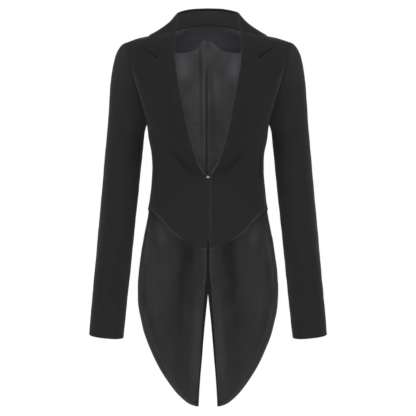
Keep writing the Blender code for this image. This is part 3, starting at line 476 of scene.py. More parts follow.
def form_normal(place):
    """Outward directions of the body form."""
    turn = form(place + (0.002, 0.0)) - form(place - (0.002, 0.0))
    climb = form(place + (0.0, 0.01)) - form(place - (0.0, 0.01))
    return unit(np.cross(turn, climb))


def bisect(wanted, low, high, value):
    """Arguments between low and high where a falling value meets the wanted ones."""
    low = np.full(np.shape(wanted), low)
    high = np.full(np.shape(wanted), high)
    for _ in range(32):
        middle = (low + high) / 2.0
        above = value(middle) > wanted
        low = np.where(above, middle, low)
        high = np.where(above, high, middle)
    return low


def angle_at(across, level):
    """Angle of a distance from the centre, at a level."""
    share = np.minimum(np.abs(across) / section_at(level)[..., 1], 1.0)
    return np.sign(across) * np.arcsin(share ** (1.0 / POWER))


def seen_place(seen, view):
    """Angle and level at (distance, height), seen from BEHIND or in FRONT."""
    across, height = seen[..., 0], seen[..., 1]
    level = view * bisect(height, 0.0, LAST_LEVEL, lambda each: height_at(across, each))
    return join(angle_at(across, level), level)


def from_above(across, depth):
    """Angle and level of the shoulders at a place seen from above."""
    def ahead(level):
        return -form(join(angle_at(across, level), level))[..., 1]
    level = bisect(-depth, -SHOULDER_LEVELS, SHOULDER_LEVELS, ahead)
    return join(angle_at(across, level), level)


def placed(edge, view):
    """Rows of an edge as rows of (share, angle, level)."""
    rows = np.array(edge, float)
    return [(share, *each) for share, each in zip(rows[:, 0], seen_place(rows[:, 1:], view))]


def side_place(height, view):
    """Angle and level on the side seam."""
    return join(math.pi / 2, seen_place(join(0.0, height), view)[..., 1])


# ---- creases ----
def crease_depth(rows, x, z):
    """Depth of creases, which bow, swell from their ends and fade to both sides."""
    depth = np.zeros_like(x)
    for x0, z0, x1, z1, bow, deep, width in rows:
        length = math.hypot(x1 - x0, z1 - z0)
        along = ((x - x0) * (x1 - x0) + (z - z0) * (z1 - z0)) / length ** 2
        aside = ((z - z0) * (x1 - x0) - (x - x0) * (z1 - z0)) / length
        aside = aside - bow * np.sin(math.pi * np.clip(along, 0.0, 1.0))
        swell = ease(-0.08, 0.35, along) * (1 - ease(0.6, 1.08, along))
        depth += deep * swell * bell(aside, width * (0.75 + 0.5 * along))
    return depth


def unevenness(x, z, seed):
    """Slow waves of a fraction of a millimetre, which pressed cloth keeps."""
    total = np.zeros_like(x)
    for order, (length, size) in enumerate(WAVES):
        turn = 1.1 * seed + 2.3 * order
        along = x * math.cos(turn) + z * math.sin(turn)
        across = z * math.cos(turn) - x * math.sin(turn)
        total += size * np.sin(math.tau * along / length + seed) * np.cos(math.tau * across / (1.7 * length))
    return total


def crease_field(rows, seed, lining=(), top=None):
    """Depth of a cloth's creases, which may start at a height, with those of a lining on it."""
    def at(x, z):
        fade = ease(top, top - 40.0, z) if top else 1.0
        return fade * crease_depth(rows, x, z) + unevenness(x, z, seed) + crease_depth(lining, x, z)
    return at


front_creases = crease_field(FRONT_CREASES, 1.0)
back_creases = crease_field(BACK_CREASES, 2.0)
lining_creases = crease_field(BACK_CREASES, 2.0, LINING_CREASES)
tail_creases = crease_field(TAIL_CREASES, 2.0, (), WAIST_SEAM)
tail_lining_creases = crease_field(TAIL_CREASES, 2.0, TAIL_LINING_CREASES, WAIST_SEAM)
# painted light and painted shade on the fronts
painted_front_light_and_shade = partial(crease_depth, FRONT_PAINTED_LIGHT_AND_SHADE)
# painted light and painted shade on the back linings
painted_lining_light_and_shade = partial(crease_depth, LINING_PAINTED_LIGHT_AND_SHADE)


# ---- shells ----
def rim_loop(rows, columns):
    """Indices round the edge of a grid."""
    low, right = rows - 1, columns - 1
    loop = [(0, j) for j in range(right)] + [(i, right) for i in range(low)]
    loop += [(low, j) for j in range(right, 0, -1)] + [(i, 0) for i in range(low, 0, -1)]
    return np.array(loop).T


def arc_lengths(grid):
    """Distance along the columns and along the rows of a grid."""
    across, along = np.zeros((2, *grid.shape[:2]))
    across[:, 1:] = np.cumsum(lengths(np.diff(grid, axis=1))[..., 0], axis=1)
    along[1:] = np.cumsum(lengths(np.diff(grid, axis=0))[..., 0], axis=0)
    return across, along


def press(across, along, pressed):
    """1 on the edges that were pressed with an iron and carry a painted highlight, fading within a few
    millimetres.
    """
    sides = {"first_column": across, "last_column": across[:, -1:] - across,
             "first_row": along, "last_row": along[-1:] - along}
    distance = np.full(across.shape, UNPRESSED)
    for side in pressed:
        distance = np.minimum(distance, sides[side])
    return np.exp(-distance / PRESS_AND_HIGHLIGHT_REACH)


def add_object(name, data):
    """New object in the scene."""
    made = bpy.data.objects.new(name, data)
    bpy.context.scene.collection.objects.link(made)
    return made


def shell(name, outer, inner, pressed, tone, inside_tone):
    """Closed cloth shell between two grids, with attributes for its weave, its pressed edges with their
    painted highlight, and its tone, which mostly carries painted light and shade.

    Its round rim is pulled back outside and reaches 0.6 of its radius over the seam line further
    in, so a seam shows as a groove and lets no light through.
    """
    rows, columns = outer.shape[:2]
    count = rows * columns
    across, along = arc_lengths(outer)
    i, j = rim_loop(rows, columns)
    outward = outer[i, j] - outer[np.clip(i, 1, rows - 2), np.clip(j, 1, columns - 2)]
    reach = lengths(outward)
    outward = unit(outward)
    half = (outer[i, j] - inner[i, j]) / 2.0
    radius = np.minimum(lengths(half), RIM_LIMIT * reach)
    outer = outer.copy()
    outer[i, j] -= outward * radius
    half = (outer[i, j] - inner[i, j]) / 2.0
    middle = (outer[i, j] + inner[i, j]) / 2.0
    rims = [middle + half * math.cos(turn) + outward * radius * math.sin(turn) for turn in RIM_TURNS]

    points = np.concatenate([outer.reshape(-1, 3), inner.reshape(-1, 3), *rims]) * MM
    index = np.arange(count).reshape(rows, columns)
    quads = np.stack([index[:-1, :-1], index[:-1, 1:], index[1:, 1:], index[1:, :-1]], -1).reshape(-1, 4)
    faces = [quads, quads[:, ::-1] + count]
    strip = [index[i, j]] + [2 * count + len(i) * each + np.arange(len(i)) for each in range(len(rims))]
    strip.append(index[i, j] + count)
    for upper, lower in zip(strip, strip[1:]):
        faces.append(np.stack([np.roll(upper, -1), upper, lower, np.roll(lower, -1)], -1))
    faces = np.concatenate(faces)
    a, b, c, d = (points[faces[:, each]] for each in range(4))
    if np.einsum("ij,ij->", np.cross(b - a, c - a) + np.cross(c - a, d - a), a) < 0:
        faces = faces[:, ::-1]

    def at_points(seen, hidden, rim):
        parts = [each.reshape(count, -1) for each in (seen, hidden)] + [rim.reshape(len(i), -1)] * len(rims)
        return np.concatenate(parts).ravel().astype(np.float32)

    mesh = bpy.data.meshes.new(name)
    mesh.from_pydata(points.tolist(), [], faces.tolist())
    weave = join(across, along, 0.0) * MM
    press_and_highlight_share = press(across, along, pressed)
    tone, inside_tone = (each + np.zeros((rows, columns)) for each in (tone, inside_tone))
    for key, kind, field, values in (
            ("weave", "FLOAT_VECTOR", "vector", at_points(weave, weave, weave[i, j])),
            ("pressed", "FLOAT", "value", at_points(press_and_highlight_share, press_and_highlight_share, press_and_highlight_share[i, j])),
            ("tone", "FLOAT", "value", at_points(tone, inside_tone, (tone + inside_tone)[i, j]))):
        mesh.attributes.new(key, kind, "POINT").data.foreach_set(field, values)
    mesh.shade_smooth()
    return add_object(name, mesh)


def piece(name, kind, nodes, look, rests_on, sign, outer, inner, slot="cloth", pressed=(), tone=0.0,
          inside_tone=0.0):
    """Shell on the frame: its side, its finish and the solids it stands for."""
    flip = np.array([sign, 1.0, 1.0])
    made = shell(f"{name}_shell", outer * flip, inner * flip, pressed, tone, inside_tone)
    made.data.materials.append(look)
    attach(made, "root")
    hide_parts(*nodes)


def panel(kind, side, rows, columns, place, top, thickness, creases, look, rests_on=(), **values):
    """A piece on the body form, on one side or, without one, over both: placed, lifted, creased."""
    s, t = np.meshgrid(rows, columns, indexing="ij")
    where = place(s, t)
    point, normal = form(where), form_normal(where)
    sign = SIDES.get(side, 1.0)
    x, z = sign * point[..., 0], point[..., 2]
    lift = (top(s, t) if callable(top) else top) - creases(x, z)
    outer = point + normal * lift[..., None]
    values = {key: value(x, z) if callable(value) else value for key, value in values.items()}
    node = f"{kind}_{side}" if side else kind
    piece(node, kind, [node], look, rests_on, sign, outer, outer - normal * thickness, **values)


# ---- seams shared by neighbouring pieces ----
def armhole(rows, view):
    """Curve over 0 at the shoulder to 1 at the underarm."""
    return curve(placed(rows, view) + [(1.0, *side_place(UNDERARM, view))])


armhole_front = armhole(ARMHOLE_FRONT, FRONT)
armhole_back = armhole(ARMHOLE_BACK, BEHIND)
collar_at = curve(COLLAR)
tail_half_width = curve(TAIL_EDGE)
vent = curve(VENT)
facing_edge = curve(placed(FACING_EDGE, BEHIND) + [(1.0, angle_at(FACING_END, 0.0), 0.0)])
roll = curve(LAPEL_ROLL)
outer_edge = curve(LAPEL_OUTER)
fall_edge = curve(placed(FALL_EDGE_BACK, BEHIND) + placed(FALL_EDGE_FRONT, FRONT))
ring_at = curve([(-row.height, row.inner, row.outer, row.front, row.back) for row in SLEEVE_RINGS])


def shoulder_seam(t):
    """From the side of the neck to the shoulder's end."""
    return join(angle_at(mix(NECK_SIDE, SHOULDER_END, t), 0.0), 0.0)


def sides(split, foot, hole, view):
    """Side seam from a height up to the underarm, then the armhole, over 0 to 1."""
    return lambda s: two_parts(s, split, lambda u: side_place(mix(foot, UNDERARM, u), view),
                               lambda u: hole(1 - u))


def neck_seam(t):
    """Back half of the neck seam, from the centre back to the shoulder seam."""
    row = collar_at(t * COLLAR[4].share)
    return from_above(row[..., 0], row[..., 1])


def back_top(t):
    """Neck seam, then the shoulder seam."""
    return two_parts(t, NECK_SHARE, neck_seam, shoulder_seam)


def back_patch(low, top, end):
    """Half of the back, from its lowest corner at the side up to its top edge."""
    centre = top(0.0)[1]
    return patch(lambda t: join(low[0] * t, low[1]), top, lambda s: join(0.0, mix(low[1], centre, s)), end)


def armhole_rows(count, underarm, *low_keys):
    """Rows up to the underarm, then one for each armhole point of the sleeves."""
    steps = np.arange(ARMHOLE_STEPS) + 1
    low = spread(count, *low_keys, underarm)
    return np.concatenate([low, underarm + (1 - underarm) * steps / ARMHOLE_STEPS])


# ---- fronts and backs ----
def fronts(look):
    """Each front from its pointed hem to the shoulder seam."""
    neck = from_above(COLLAR[-2].seam_x, COLLAR[-2].seam_y)
    start = curve(placed(FRONT_EDGE, FRONT) + [(FRONT_NECK_SHARE, *neck), (1.0, *shoulder_seam(0.0))])
    bottom = curve(placed(FRONT_HEM, FRONT) + [(1.0, *side_place(FRONT_HEM_SIDE, FRONT))])
    place = patch(bottom, shoulder_seam, start,
                  sides(FRONT_UNDERARM, FRONT_HEM_SIDE, armhole_front, FRONT))
    rows = armhole_rows(56, FRONT_UNDERARM, 0.0, BREAK_SHARE)
    for side in SIDES:
        panel("front", side, rows, spread(56), place, 0.0, CLOTH, front_creases, look,
              pressed=("first_row",), tone=painted_front_light_and_shade)


def backs(look):
    """Each back from the waist seam to the neck and shoulder seams."""
    place = back_patch(side_place(WAIST_SEAM, BEHIND), back_top,
                       sides(BACK_UNDERARM, WAIST_SEAM, armhole_back, BEHIND))
    rows = armhole_rows(50, BACK_UNDERARM, 0.0)
    for side in SIDES:
        panel("back", side, rows, spread(60, 0.0, NECK_SHARE, 1.0), place, 0.0, CLOTH, back_creases, look)


# ---- tails ----
def tail_height(s):
    """Height on a tail; its rows lie closer together towards the tip."""
    return mix(WAIST_SEAM, TAIL_TIP, 1 - (1 - s) ** 1.25)


def edge_lean(height):
    """Length of the tail's edge for each millimetre of height."""
    slope = (tail_half_width(height + 2.0) - tail_half_width(height - 2.0)) / 4.0
    return np.sqrt(1.0 + slope ** 2)


def tail_place(s, t):
    """Angle and level on a tail; the shares run from the waist seam and from the centre back."""
    height = tail_height(s)
    inner, outer = vent(height), tail_half_width(height)
    level = seen_place(join(outer, height), BEHIND)[..., 1]
    last = np.where(height > TAIL_SIDE, math.pi / 2, angle_at(outer, level))
    return join(mix(angle_at(inner, level), last, t), level)


def tail_lining_place(s, t):
    """Place of the lining on a tail, which leaves the turned-up hem bare at the edges."""
    s = mix(LINING_START, LINING_END, s)
    height = tail_height(s)
    width = tail_half_width(height) - vent(height)
    turn = HEM_TURN * edge_lean(height) / width
    low = VENT_TURN / width * ease(VENT_TOP + 50.0, VENT_TOP, height) + 0.009
    high = 1 - turn * ease(WAIST_SEAM, WAIST_SEAM - 60.0, height) - 0.03 * (height > TAIL_SIDE)
    return tail_place(s, low + np.maximum(high - low, 0.03) * t)


def tail_lining_lift(s, t):
    """The tails' lining is a little full and rolls back at its sewn edges."""
    edge = np.minimum(np.minimum(t, 1 - t) * 12.0, (1 - s) * 20.0)
    return -CLOTH - LINING_GAP - LINING_PUFF * ease(0.0, 1.0, edge)


def painted_tail_lining_light_and_shade(x, z):
    """Painted highlights and painted shade on the tails' lining, with painted shade that grows towards the
    tips.
    """
    return crease_depth(TAIL_PAINTED_LIGHT_AND_SHADE, x, z) - 0.13 * ease(-560.0, -790.0, z)


def painted_hem_highlight(x, z):
    """Painted highlight inside the tails: the hem turned up along the outer edge is painted light and the
    rest isn't.
    """
    inside = (tail_half_width(z) - np.abs(x)) / edge_lean(z)
    return HEM_PAINTED_HIGHLIGHT * ease(HEM_TURN + 0.5, HEM_TURN - 3.5, inside) * ease(20.0, 34.0, np.abs(x))


def tails(look, satin):
    """Each tail from the waist seam to its tip, with its satin lining on the inner face."""
    for side in SIDES:
        panel("tail", side, spread(130), spread(52, 0.0, 0.07, 0.93, 1.0), tail_place, 0.0, CLOTH,
              tail_creases, look, pressed=("last_column", "last_row"), inside_tone=painted_hem_highlight)
        panel("lining_tail", side, spread(110), spread(48, 0.0, 0.08, 0.92, 1.0), tail_lining_place,
              tail_lining_lift, LINING, tail_lining_creases, satin, (f"tail_{side}",), slot="lining",
              pressed=("first_column", "last_column", "last_row"), inside_tone=painted_tail_lining_light_and_shade)


# ---- inside the back ----
def neck_facing(look):
    """One band of self cloth behind the back neck, from shoulder seam to shoulder seam."""
    rows = spread(22)

    def place(s, t):
        where = neck_seam(np.abs(t)) * (1 - s[..., None]) + facing_edge(np.abs(t)) * s[..., None]
        return join(np.sign(t) * where[..., 0], where[..., 1])

    def top(s, t):
        return -CLOTH - mix(FACING_SEWN, FACING_GAP, ease(0.0, 0.3, s))

    panel("neck_facing", None, rows, spread(110, -1.0, 0.0, 1.0), place, top, FACING, lining_creases,
          look, BACKS, pressed=("last_row",), inside_tone=FACING_TOP_PAINTED_SHADE * bell(rows, 0.1)[:, None])


def back_linings(satin):
    """Satin inside the backs, below the facing; the wearer's right half carries the pleat."""
    foot = WAIST_SEAM + 3.0
    low = side_place(foot, BEHIND)
    beside_facing = (FACING_END + CLOTH - NECK_SIDE) / (SHOULDER_END - NECK_SIDE)

    def top(t):
        def shoulder(u):
            return shoulder_seam(beside_facing + u * LINING_SHOULDER_SHARE)
        return two_parts(t, LINING_NECK_SHARE, facing_edge, shoulder) - (0.0, LINING_DROP)

    shares = np.linspace(0.0, 1.0, 9)
    hole = curve([(share, *each) for share, each in zip(shares, armhole_back(shares) - (ARMHOLE_GAP, 0.0))])
    end_path = sides(BACK_UNDERARM, foot, hole, BEHIND)

    def end(s):
        return np.minimum(end_path(s), (math.pi / 2 - SIDE_GAP, 1e3))

    flat = -CLOTH - LAYER
    even = back_patch(low - (SIDE_GAP, 0.0), top, end)

    def pleated(s, t):
        return flat - PLEAT_DEPTH * (1 - ease(*PLEAT_FALLS, t)) * ease(0.0, 0.25, s)

    for side, shift, lift in (("left", -PLEAT_OVERLAP, flat), ("right", PLEAT_EDGE, pleated)):
        panel("lining_back", side, spread(90), spread(80, 0.0, *PLEAT_FALLS, LINING_NECK_SHARE, 1.0),
              lambda s, t: even(s, t) + join(shift * (1 - t) ** 8, 0.0), lift, LINING, lining_creases,
              satin, (f"back_{side}",), slot="lining", pressed=("last_row",), inside_tone=painted_lining_light_and_shade)


# ---- lapels ----
def lapel_end(t):
    """The lapel's short lowest edge."""
    return mix(roll(1.0), outer_edge(1.0), np.asarray(t, float)[..., None])


def lapel_lift(s, t):
    """How far the lapel stands off the front: the roll, the lower outer edge and the gorge's dip."""
    fade = ease(1.0, LAPEL_ROLL_FADES, s)
    rise = np.where(t < ROLL_FULL, np.sin(math.pi / 2 * np.minimum(t / ROLL_FULL, 1.0)),
                    0.5 + 0.5 * np.cos(math.pi * (t - ROLL_FULL) / (1 - ROLL_FULL)))
    low = ease(0.45, 0.7, s) * ease(1.0, 0.92, s) * ease(0.5, 1.0, t)
    gorge = GORGE_DIP * bell(s, 0.012) * ease(0.55, 0.45, t) * ease(0.1, 0.2, t)
    return LAPEL_ROLL_LIFT * mix(LAPEL_ROLL_LEFT, 1, fade) * rise + LAPEL_EDGE_LIFT * low - gorge


def lapels(look):
    """Each lapel turns over the front's edge in a soft roll and lies on the front."""
    seen = patch(curve(LAPEL_TOP), lapel_end, roll, outer_edge)
    rows = spread(120)[:, None]
    width = lengths(outer_edge(rows[:, 0]) - roll(rows[:, 0]))
    fold = np.minimum(FOLD_WIDTH, 0.4 * width)
    near = fold / width
    crown = LAYER + CLOTH + lapel_lift(rows, near)
    middle = (crown - CLOTH) / 2.0
    turns = np.radians(np.linspace(-90.0, 90.0, FOLD_STEPS + 1))[None, :]
    face = mix(near, 1, spread(52)[None, 1:])
    face_lift = LAYER + CLOTH + lapel_lift(rows, face)
    layers = []
    for depth in (0.0, CLOTH):
        wide = np.maximum(fold - depth, 0.25)
        high = np.maximum(crown - middle - depth, 0.3)
        layers.append((np.concatenate([(fold - wide * np.cos(turns)) / width, face], 1),
                       np.concatenate([middle + high * np.sin(turns), face_lift - depth], 1)))
    # painted highlight: a bright line along the roll's fold, strongest towards the break, and a faint one
    # along the lower outer edge
    low = ease(0.84, 0.95, rows)
    painted_fold_highlight = bell(turns, 0.5 + 0.35 * low) * (0.45 + 1.25 * low)
    edge = np.exp(-(1 - face) * width / 2.0) * ease(0.35, 0.6, rows)
    lapel_tone_and_painted_highlight = LAPEL_TONE + np.concatenate([painted_fold_highlight, 0.1 * edge], 1)
    for side, sign in SIDES.items():
        grids = []
        for t, n in layers:
            where = seen_place(seen(np.broadcast_to(rows, t.shape), t), FRONT)
            point, normal = form(where), form_normal(where)
            x, z = sign * point[..., 0], point[..., 2]
            settled = ease(0.0, 6.0, n) * crease_depth(LAPEL_CREASES, x, z)
            grids.append(point + normal * (n - front_creases(x, z) - settled)[..., None])
        node = f"lapel_{side}"
        piece(node, "lapel", [node], look, (f"front_{side}",), sign, *grids, tone=lapel_tone_and_painted_highlight)


# ---- collar ----
def lifted(point):
    """Points, raised where they would sink into the shoulders."""
    where = from_above(point[..., 0], point[..., 1])
    least = form(where)[..., 2] + (FALL_LIFT + CLOTH) / np.maximum(form_normal(where)[..., 2], STEEPEST)
    return join(point[..., 0], point[..., 1], np.maximum(point[..., 2], least))


def collar_points(share):
    """Neck seam, fold line and fall edge at shares of the collar's half length."""
    row = collar_at(share)
    where = fall_edge(share)
    edge = form(where) + form_normal(where) * (FALL_LIFT + CLOTH)
    return form(from_above(row[..., 0], row[..., 1])), row[..., 2:], edge


def level_unit(vectors):
    """Horizontal directions of length 1."""
    return unit(vectors * (1.0, 1.0, 0.0))


def stand_half(share, t):
    """The stand's side that faces the neck, from its seam up to under the fold."""
    seam, fold, _ = collar_points(share)
    inward = level_unit(seam * (-1.0, -0.8, 0.0))
    foot = seam + inward * (CLOTH + STAND_INSIDE) + (0.0, 0.0, STAND_LIFT)
    head = fold + inward * 0.3 - (0.0, 0.0, FOLD_RADIUS + STAND_UNDER_FOLD)
    head[..., 2] = np.maximum(head[..., 2], foot[..., 2] + 2.0)
    return mix(foot, head, t[..., None])


def on_fold(fold, away, turn):
    """Points of the fold's round outer side."""
    return fold + FOLD_RADIUS * (away * (1 + np.cos(turn))[..., None] + join(0.0, 0.0, np.sin(turn) - 1))


def fall_half(share, t):
    """The fall, over the fold and down to its edge on the shoulders."""
    _, fold, edge = collar_points(share)
    away = level_unit(edge - fold)
    turned = on_fold(fold, away, mix(FOLD_START, FOLD_END, np.minimum(t / FOLD_SHARE, 1.0)))
    start = on_fold(fold, away, np.full(t.shape, FOLD_END))
    fullness = lengths(edge - start) * FALL_FULLNESS
    leave = unit(away - (0.0, 0.0, 1.0)) * fullness
    arrive = unit(unit(edge - start) + away * FALL_SETTLE) * fullness
    u = np.maximum((t - FOLD_SHARE) / (1 - FOLD_SHARE), 0.0)[..., None]
    fallen = lifted(blend(start, leave, edge, arrive, u))
    return np.where((t < FOLD_SHARE)[..., None], turned, fallen)


def free_wall(node, half, along, across, look, tone):
    """A collar piece: a surface over both halves whose back lies under its seen side."""
    s, t = np.meshgrid(along, across, indexing="ij")

    def surface(share, depth):
        return half(np.abs(share), depth) * join(np.sign(share), 1.0, 1.0)

    run = surface(np.minimum(s + STEP, 1.0), t) - surface(np.maximum(s - STEP, -1.0), t)
    drop = surface(s, np.minimum(t + STEP, 1.0)) - surface(s, np.maximum(t - STEP, 0.0))
    normal = unit(np.cross(run, drop))
    seen = surface(s, t)
    seen = seen - normal * unevenness(seen[..., 0], seen[..., 1] + seen[..., 2], 3.0)[..., None]
    piece(node, node, [node], look, BACKS, 1.0, seen, seen - normal * CLOTH, tone=tone)


def collar(look):
    """Stand and fall."""
    free_wall("collar_stand", stand_half, spread(110, -STAND_END, STAND_END), spread(16), look, STAND_PAINTED_LIGHT)
    free_wall("collar_fall", fall_half, spread(170, -1.0, -0.88, 0.0, 0.88, 1.0),
              spread(48, 0.0, FOLD_SHARE, 1.0), look, FALL_TONE)


# ---- sleeves ----
def ring_point(turn, height):
    """Points of the sleeve: turn 0 is the outer side, a quarter turn the front."""
    inner_side, outer_side, front, back = np.moveaxis(ring_at(-height), -1, 0)
    x = (outer_side - inner_side) / 2 * signed_power(np.cos(turn))
    y = -(back - front) / 2 * signed_power(np.sin(turn))
    middle = join((outer_side + inner_side) / 2, (back + front) / 2, height)
    return middle + join(x, y, SLEEVE_LEAN * x + SLEEVE_PITCH * y)


def armhole_point(turn, sign):
    """Points of the body's creased armhole edge that face as the sleeve's turn does."""
    share = np.mod(turn, math.tau) / math.pi
    edges = []
    for where, field in ((armhole_front(np.minimum(share, 1.0)), front_creases),
                         (armhole_back(np.clip(2.0 - share, 0.0, 1.0)), back_creases)):
        point = form(where)
        edges.append(point - form_normal(where) * field(sign * point[..., 0], point[..., 2])[..., None])
    return np.where((share <= 1.0)[..., None], *edges)


def towards_body(turn):
    """0 at the sleeve's outer side and 1 at its inner side."""
    return 0.5 - 0.5 * np.cos(turn)


def sleeve_point(share, turn, sign):
    """Sleeve surface: share 0 at the armhole, CAP_SHARE at the first ring, 1 at the cuff."""
    first = SLEEVE_RINGS[0].height
    arm = ring_point(turn, first + (CUFF - first) * np.maximum(share - CAP_SHARE, 0.0) / (1 - CAP_SHARE))
    start, end = armhole_point(turn, sign), ring_point(turn, np.full(turn.shape, float(first)))
    size = lengths(end - start)
    low = towards_body(turn)
    leave = join(CAP_FULLNESS * (1 - 0.9 * low), -CAP_FORWARD * np.sin(turn), -mix(*CAP_DOWN, low))
    leave = leave * np.minimum(1.0, size / CAP_SPAN)
    arrive = unit(ring_point(turn, np.full(turn.shape, first - 10.0)) - end) * size * CAP_ARRIVE
    u = np.minimum(share / CAP_SHARE, 1.0)[..., None]
    return np.where((share >= CAP_SHARE)[..., None], arm, blend(start, leave, end, arrive, u))


def sleeve_field(side, turn, height):
    """Depth of a sleeve's folds; distance round the arm is measured on a mean radius."""
    rows = [(math.radians(turn0) * ARM_RADIUS, z0, math.radians(turn1) * ARM_RADIUS, *rest)
            for turn0, z0, turn1, *rest in SLEEVE_FOLDS[side]]
    return crease_depth(rows, np.mod(turn, math.tau) * ARM_RADIUS, height)


def sleeves(look):
    """Top and under sleeve, which meet at the front and back sleeve seams."""
    rows = np.concatenate([spread(56, 0.0, CAP_SHARE), spread(100, CAP_SHARE, 1.0)[1:]])
    step = math.pi / ARMHOLE_STEPS
    seam = round(math.radians(SLEEVE_SEAM) / step)
    spans = {"sleeve_top": (-seam, seam), "sleeve_under": (seam, 2 * ARMHOLE_STEPS - seam)}
    for side, sign in SIDES.items():
        for kind, (first, last) in spans.items():
            s, turn = np.meshgrid(rows, step * np.arange(first, last + 1), indexing="ij")
            point = sleeve_point(s, turn, sign)
            down = (sleeve_point(np.minimum(s + STEP, 1.0), turn, sign)
                    - sleeve_point(np.maximum(s - STEP, 0.0), turn, sign))
            around = sleeve_point(s, turn + 0.01, sign) - sleeve_point(s, turn - 0.01, sign)
            inward = unit(np.cross(down, around))
            height = point[..., 2]
            depth = sleeve_field(side, turn, height) * ease(0.0, 0.08, s)
            depth = depth + unevenness(turn * ARM_RADIUS, height, 4.0 + sign) * ease(0.0, 0.1, s)
            seen = point + inward * depth[..., None]
            inner = towards_body(turn)
            # painted light on the inner side above the elbow and over the cap
            tone = (SLEEVE_PAINTED_LIGHT[0] * inner ** 2 * ease(-250.0, -150.0, height)
                    + SLEEVE_PAINTED_LIGHT[1] * (1 - inner) * ease(-150.0, -50.0, height))
            nodes = [f"{kind}_{band}_{side}" for band in SLEEVE_BANDS[kind]]
            piece(f"{kind}_{side}", kind, nodes, look, (f"front_{side}", f"back_{side}"), sign,
                  seen, seen + inward * CLOTH, tone=tone)


# ---- hook and eye ----
def wire(name, node, points, look, radius=WIRE):
    """Round bent wire or thread through points."""
    path = bpy.data.curves.new(name, "CURVE")
    path.dimensions = "3D"
    path.bevel_depth = radius * MM
    path.bevel_resolution = 5
    path.resolution_u = 10
    path.use_fill_caps = True
    spline = path.splines.new("BEZIER")
    spline.bezier_points.add(len(points) - 1)
    for slot, point in zip(spline.bezier_points, points):
        slot.co = Vector(point) * MM
        slot.handle_left_type = "AUTO"
        slot.handle_right_type = "AUTO"
    made = add_object(name, path)
    path.materials.append(look)
    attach(made, "root")
    if node:
        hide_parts(node)


def wraps(name, first, last, depth, middle, half, look):
    """Sewing thread wound round both legs of the hook or of the eye."""
    points = []
    for share in np.linspace(0.0, 1.0, 8 * WRAPS + 1):
        turn = math.tau * WRAPS * share
        points.append((mix(first, last, share), depth - (WIRE + THREAD) * math.sin(turn),
                       middle + (half + WIRE + THREAD) * math.cos(turn)))
    wire(name, None, points, look, THREAD)


def hook_and_eye(look, thread):
    """The hook's bill reaches from the right front over the bar of the eye on the left front."""
    height = BREAK - HOOK_DROP
    face = form(seen_place(join(2.0, height), FRONT))[1] - HOOK_GAP - WIRE
    bill = face - 2 * WIRE - 0.3
    eye = [(EYE_END, face, height - EYE_HALF)]
    for share in np.linspace(0.0, 1.0, 9):
        turn = math.pi * (1.5 - share)
        eye.append((EYE_BAR + EYE_HALF * math.cos(turn), face, height + EYE_HALF * math.sin(turn)))
    eye.append((EYE_END, face, height + EYE_HALF))
    wire("eye_wire", "eye", eye, look)
    half = [(-6.0, face), (-3.2, face), (-1.6, bill), (1.2, bill)]
    hook = [(x, y, height - HOOK_HALF) for x, y in half] + [(HOOK_TIP, bill, height)]
    hook += [(x, y, height + HOOK_HALF) for x, y in reversed(half)]
    wire("hook_wire", "hook", hook, look)
    wraps("hook_thread", -6.2, -3.0, face, height, HOOK_HALF, thread)
    wraps("eye_thread", 2.9, 7.1, face, height, EYE_HALF, thread)


# ---- materials ----
class Nodes:
    """Makes and links the nodes of a material or a world around its shader."""

    def __init__(self, owner, shader, **inputs):
        owner.use_nodes = True
        self.owner = owner
        self.tree = owner.node_tree
        self.shader = self.tree.nodes[shader]
        self.set(**inputs)

    def fill(self, node, inputs):
        """Fills inputs of a node: a socket is linked to them, anything else is their value."""
        for key, value in inputs.items():
            if isinstance(value, bpy.types.NodeSocket):
                self.tree.links.new(value, node.inputs[key])
            else:
                node.inputs[key].default_value = value

    def set(self, **inputs):
        """Fills inputs of the shader; a name has _ for each space."""
        self.fill(self.shader, {key.replace("_", " "): value for key, value in inputs.items()})

    def add(self, kind, output, inputs, **settings):
        """One output of a new node."""
        made = self.tree.nodes.new("ShaderNode" + kind)
        for key, value in settings.items():
            setattr(made, key, value)
        self.fill(made, inputs)
        return made.outputs[output]

    def attribute(self, name, output="Fac"):
        """Values that a shell keeps at its points."""
        return self.add("Attribute", output, {}, attribute_name=name)

    def weave(self, scale, angle=0.0):
        """Coordinates along the cloth in metres, scaled and turned."""
        turn = (0.0, 0.0, math.radians(angle))
        return self.add("Mapping", "Vector", {"Vector": self.attribute("weave", "Vector"), "Scale": scale,
                                              "Rotation": turn})

    def noise(self, place, detail, scale=1.0):
        """Cloudy values from 0 to 1."""
        return self.add("TexNoise", "Fac", {"Vector": place, "Detail": detail, "Scale": scale})

    def range(self, source, low, high, from_low=0.0, from_high=1.0):
        """A value spread to another range."""
        return self.add("MapRange", "Result", {"Value": source, "From Min": from_low, "From Max": from_high,
                                               "To Min": low, "To Max": high})

    def total(self, *values, operation="ADD"):
        """Sum or product of values, each a socket or a number."""
        def both(first, second):
            return self.add("Math", "Value", {0: first, 1: second}, operation=operation)
        return reduce(both, values)

    def times(self, first, second):
        """Product of two values."""
        return self.total(first, second, operation="MULTIPLY")

    def tint(self, low, high, share):
        """Base colour between two colours."""
        colour = self.add("Mix", 2, {0: share, 6: (*low, 1.0), 7: (*high, 1.0)}, data_type="RGBA")
        self.set(Base_Color=colour)

    def relief(self, height, strength, distance):
        """Fine relief of the surface."""
        self.set(Normal=self.add("Bump", "Normal", {"Height": height, "Strength": strength,
                                                    "Distance": distance}))


def material(name, **inputs):
    """Nodes of a new principled material."""
    return Nodes(bpy.data.materials.new(name), "Principled BSDF", **inputs)


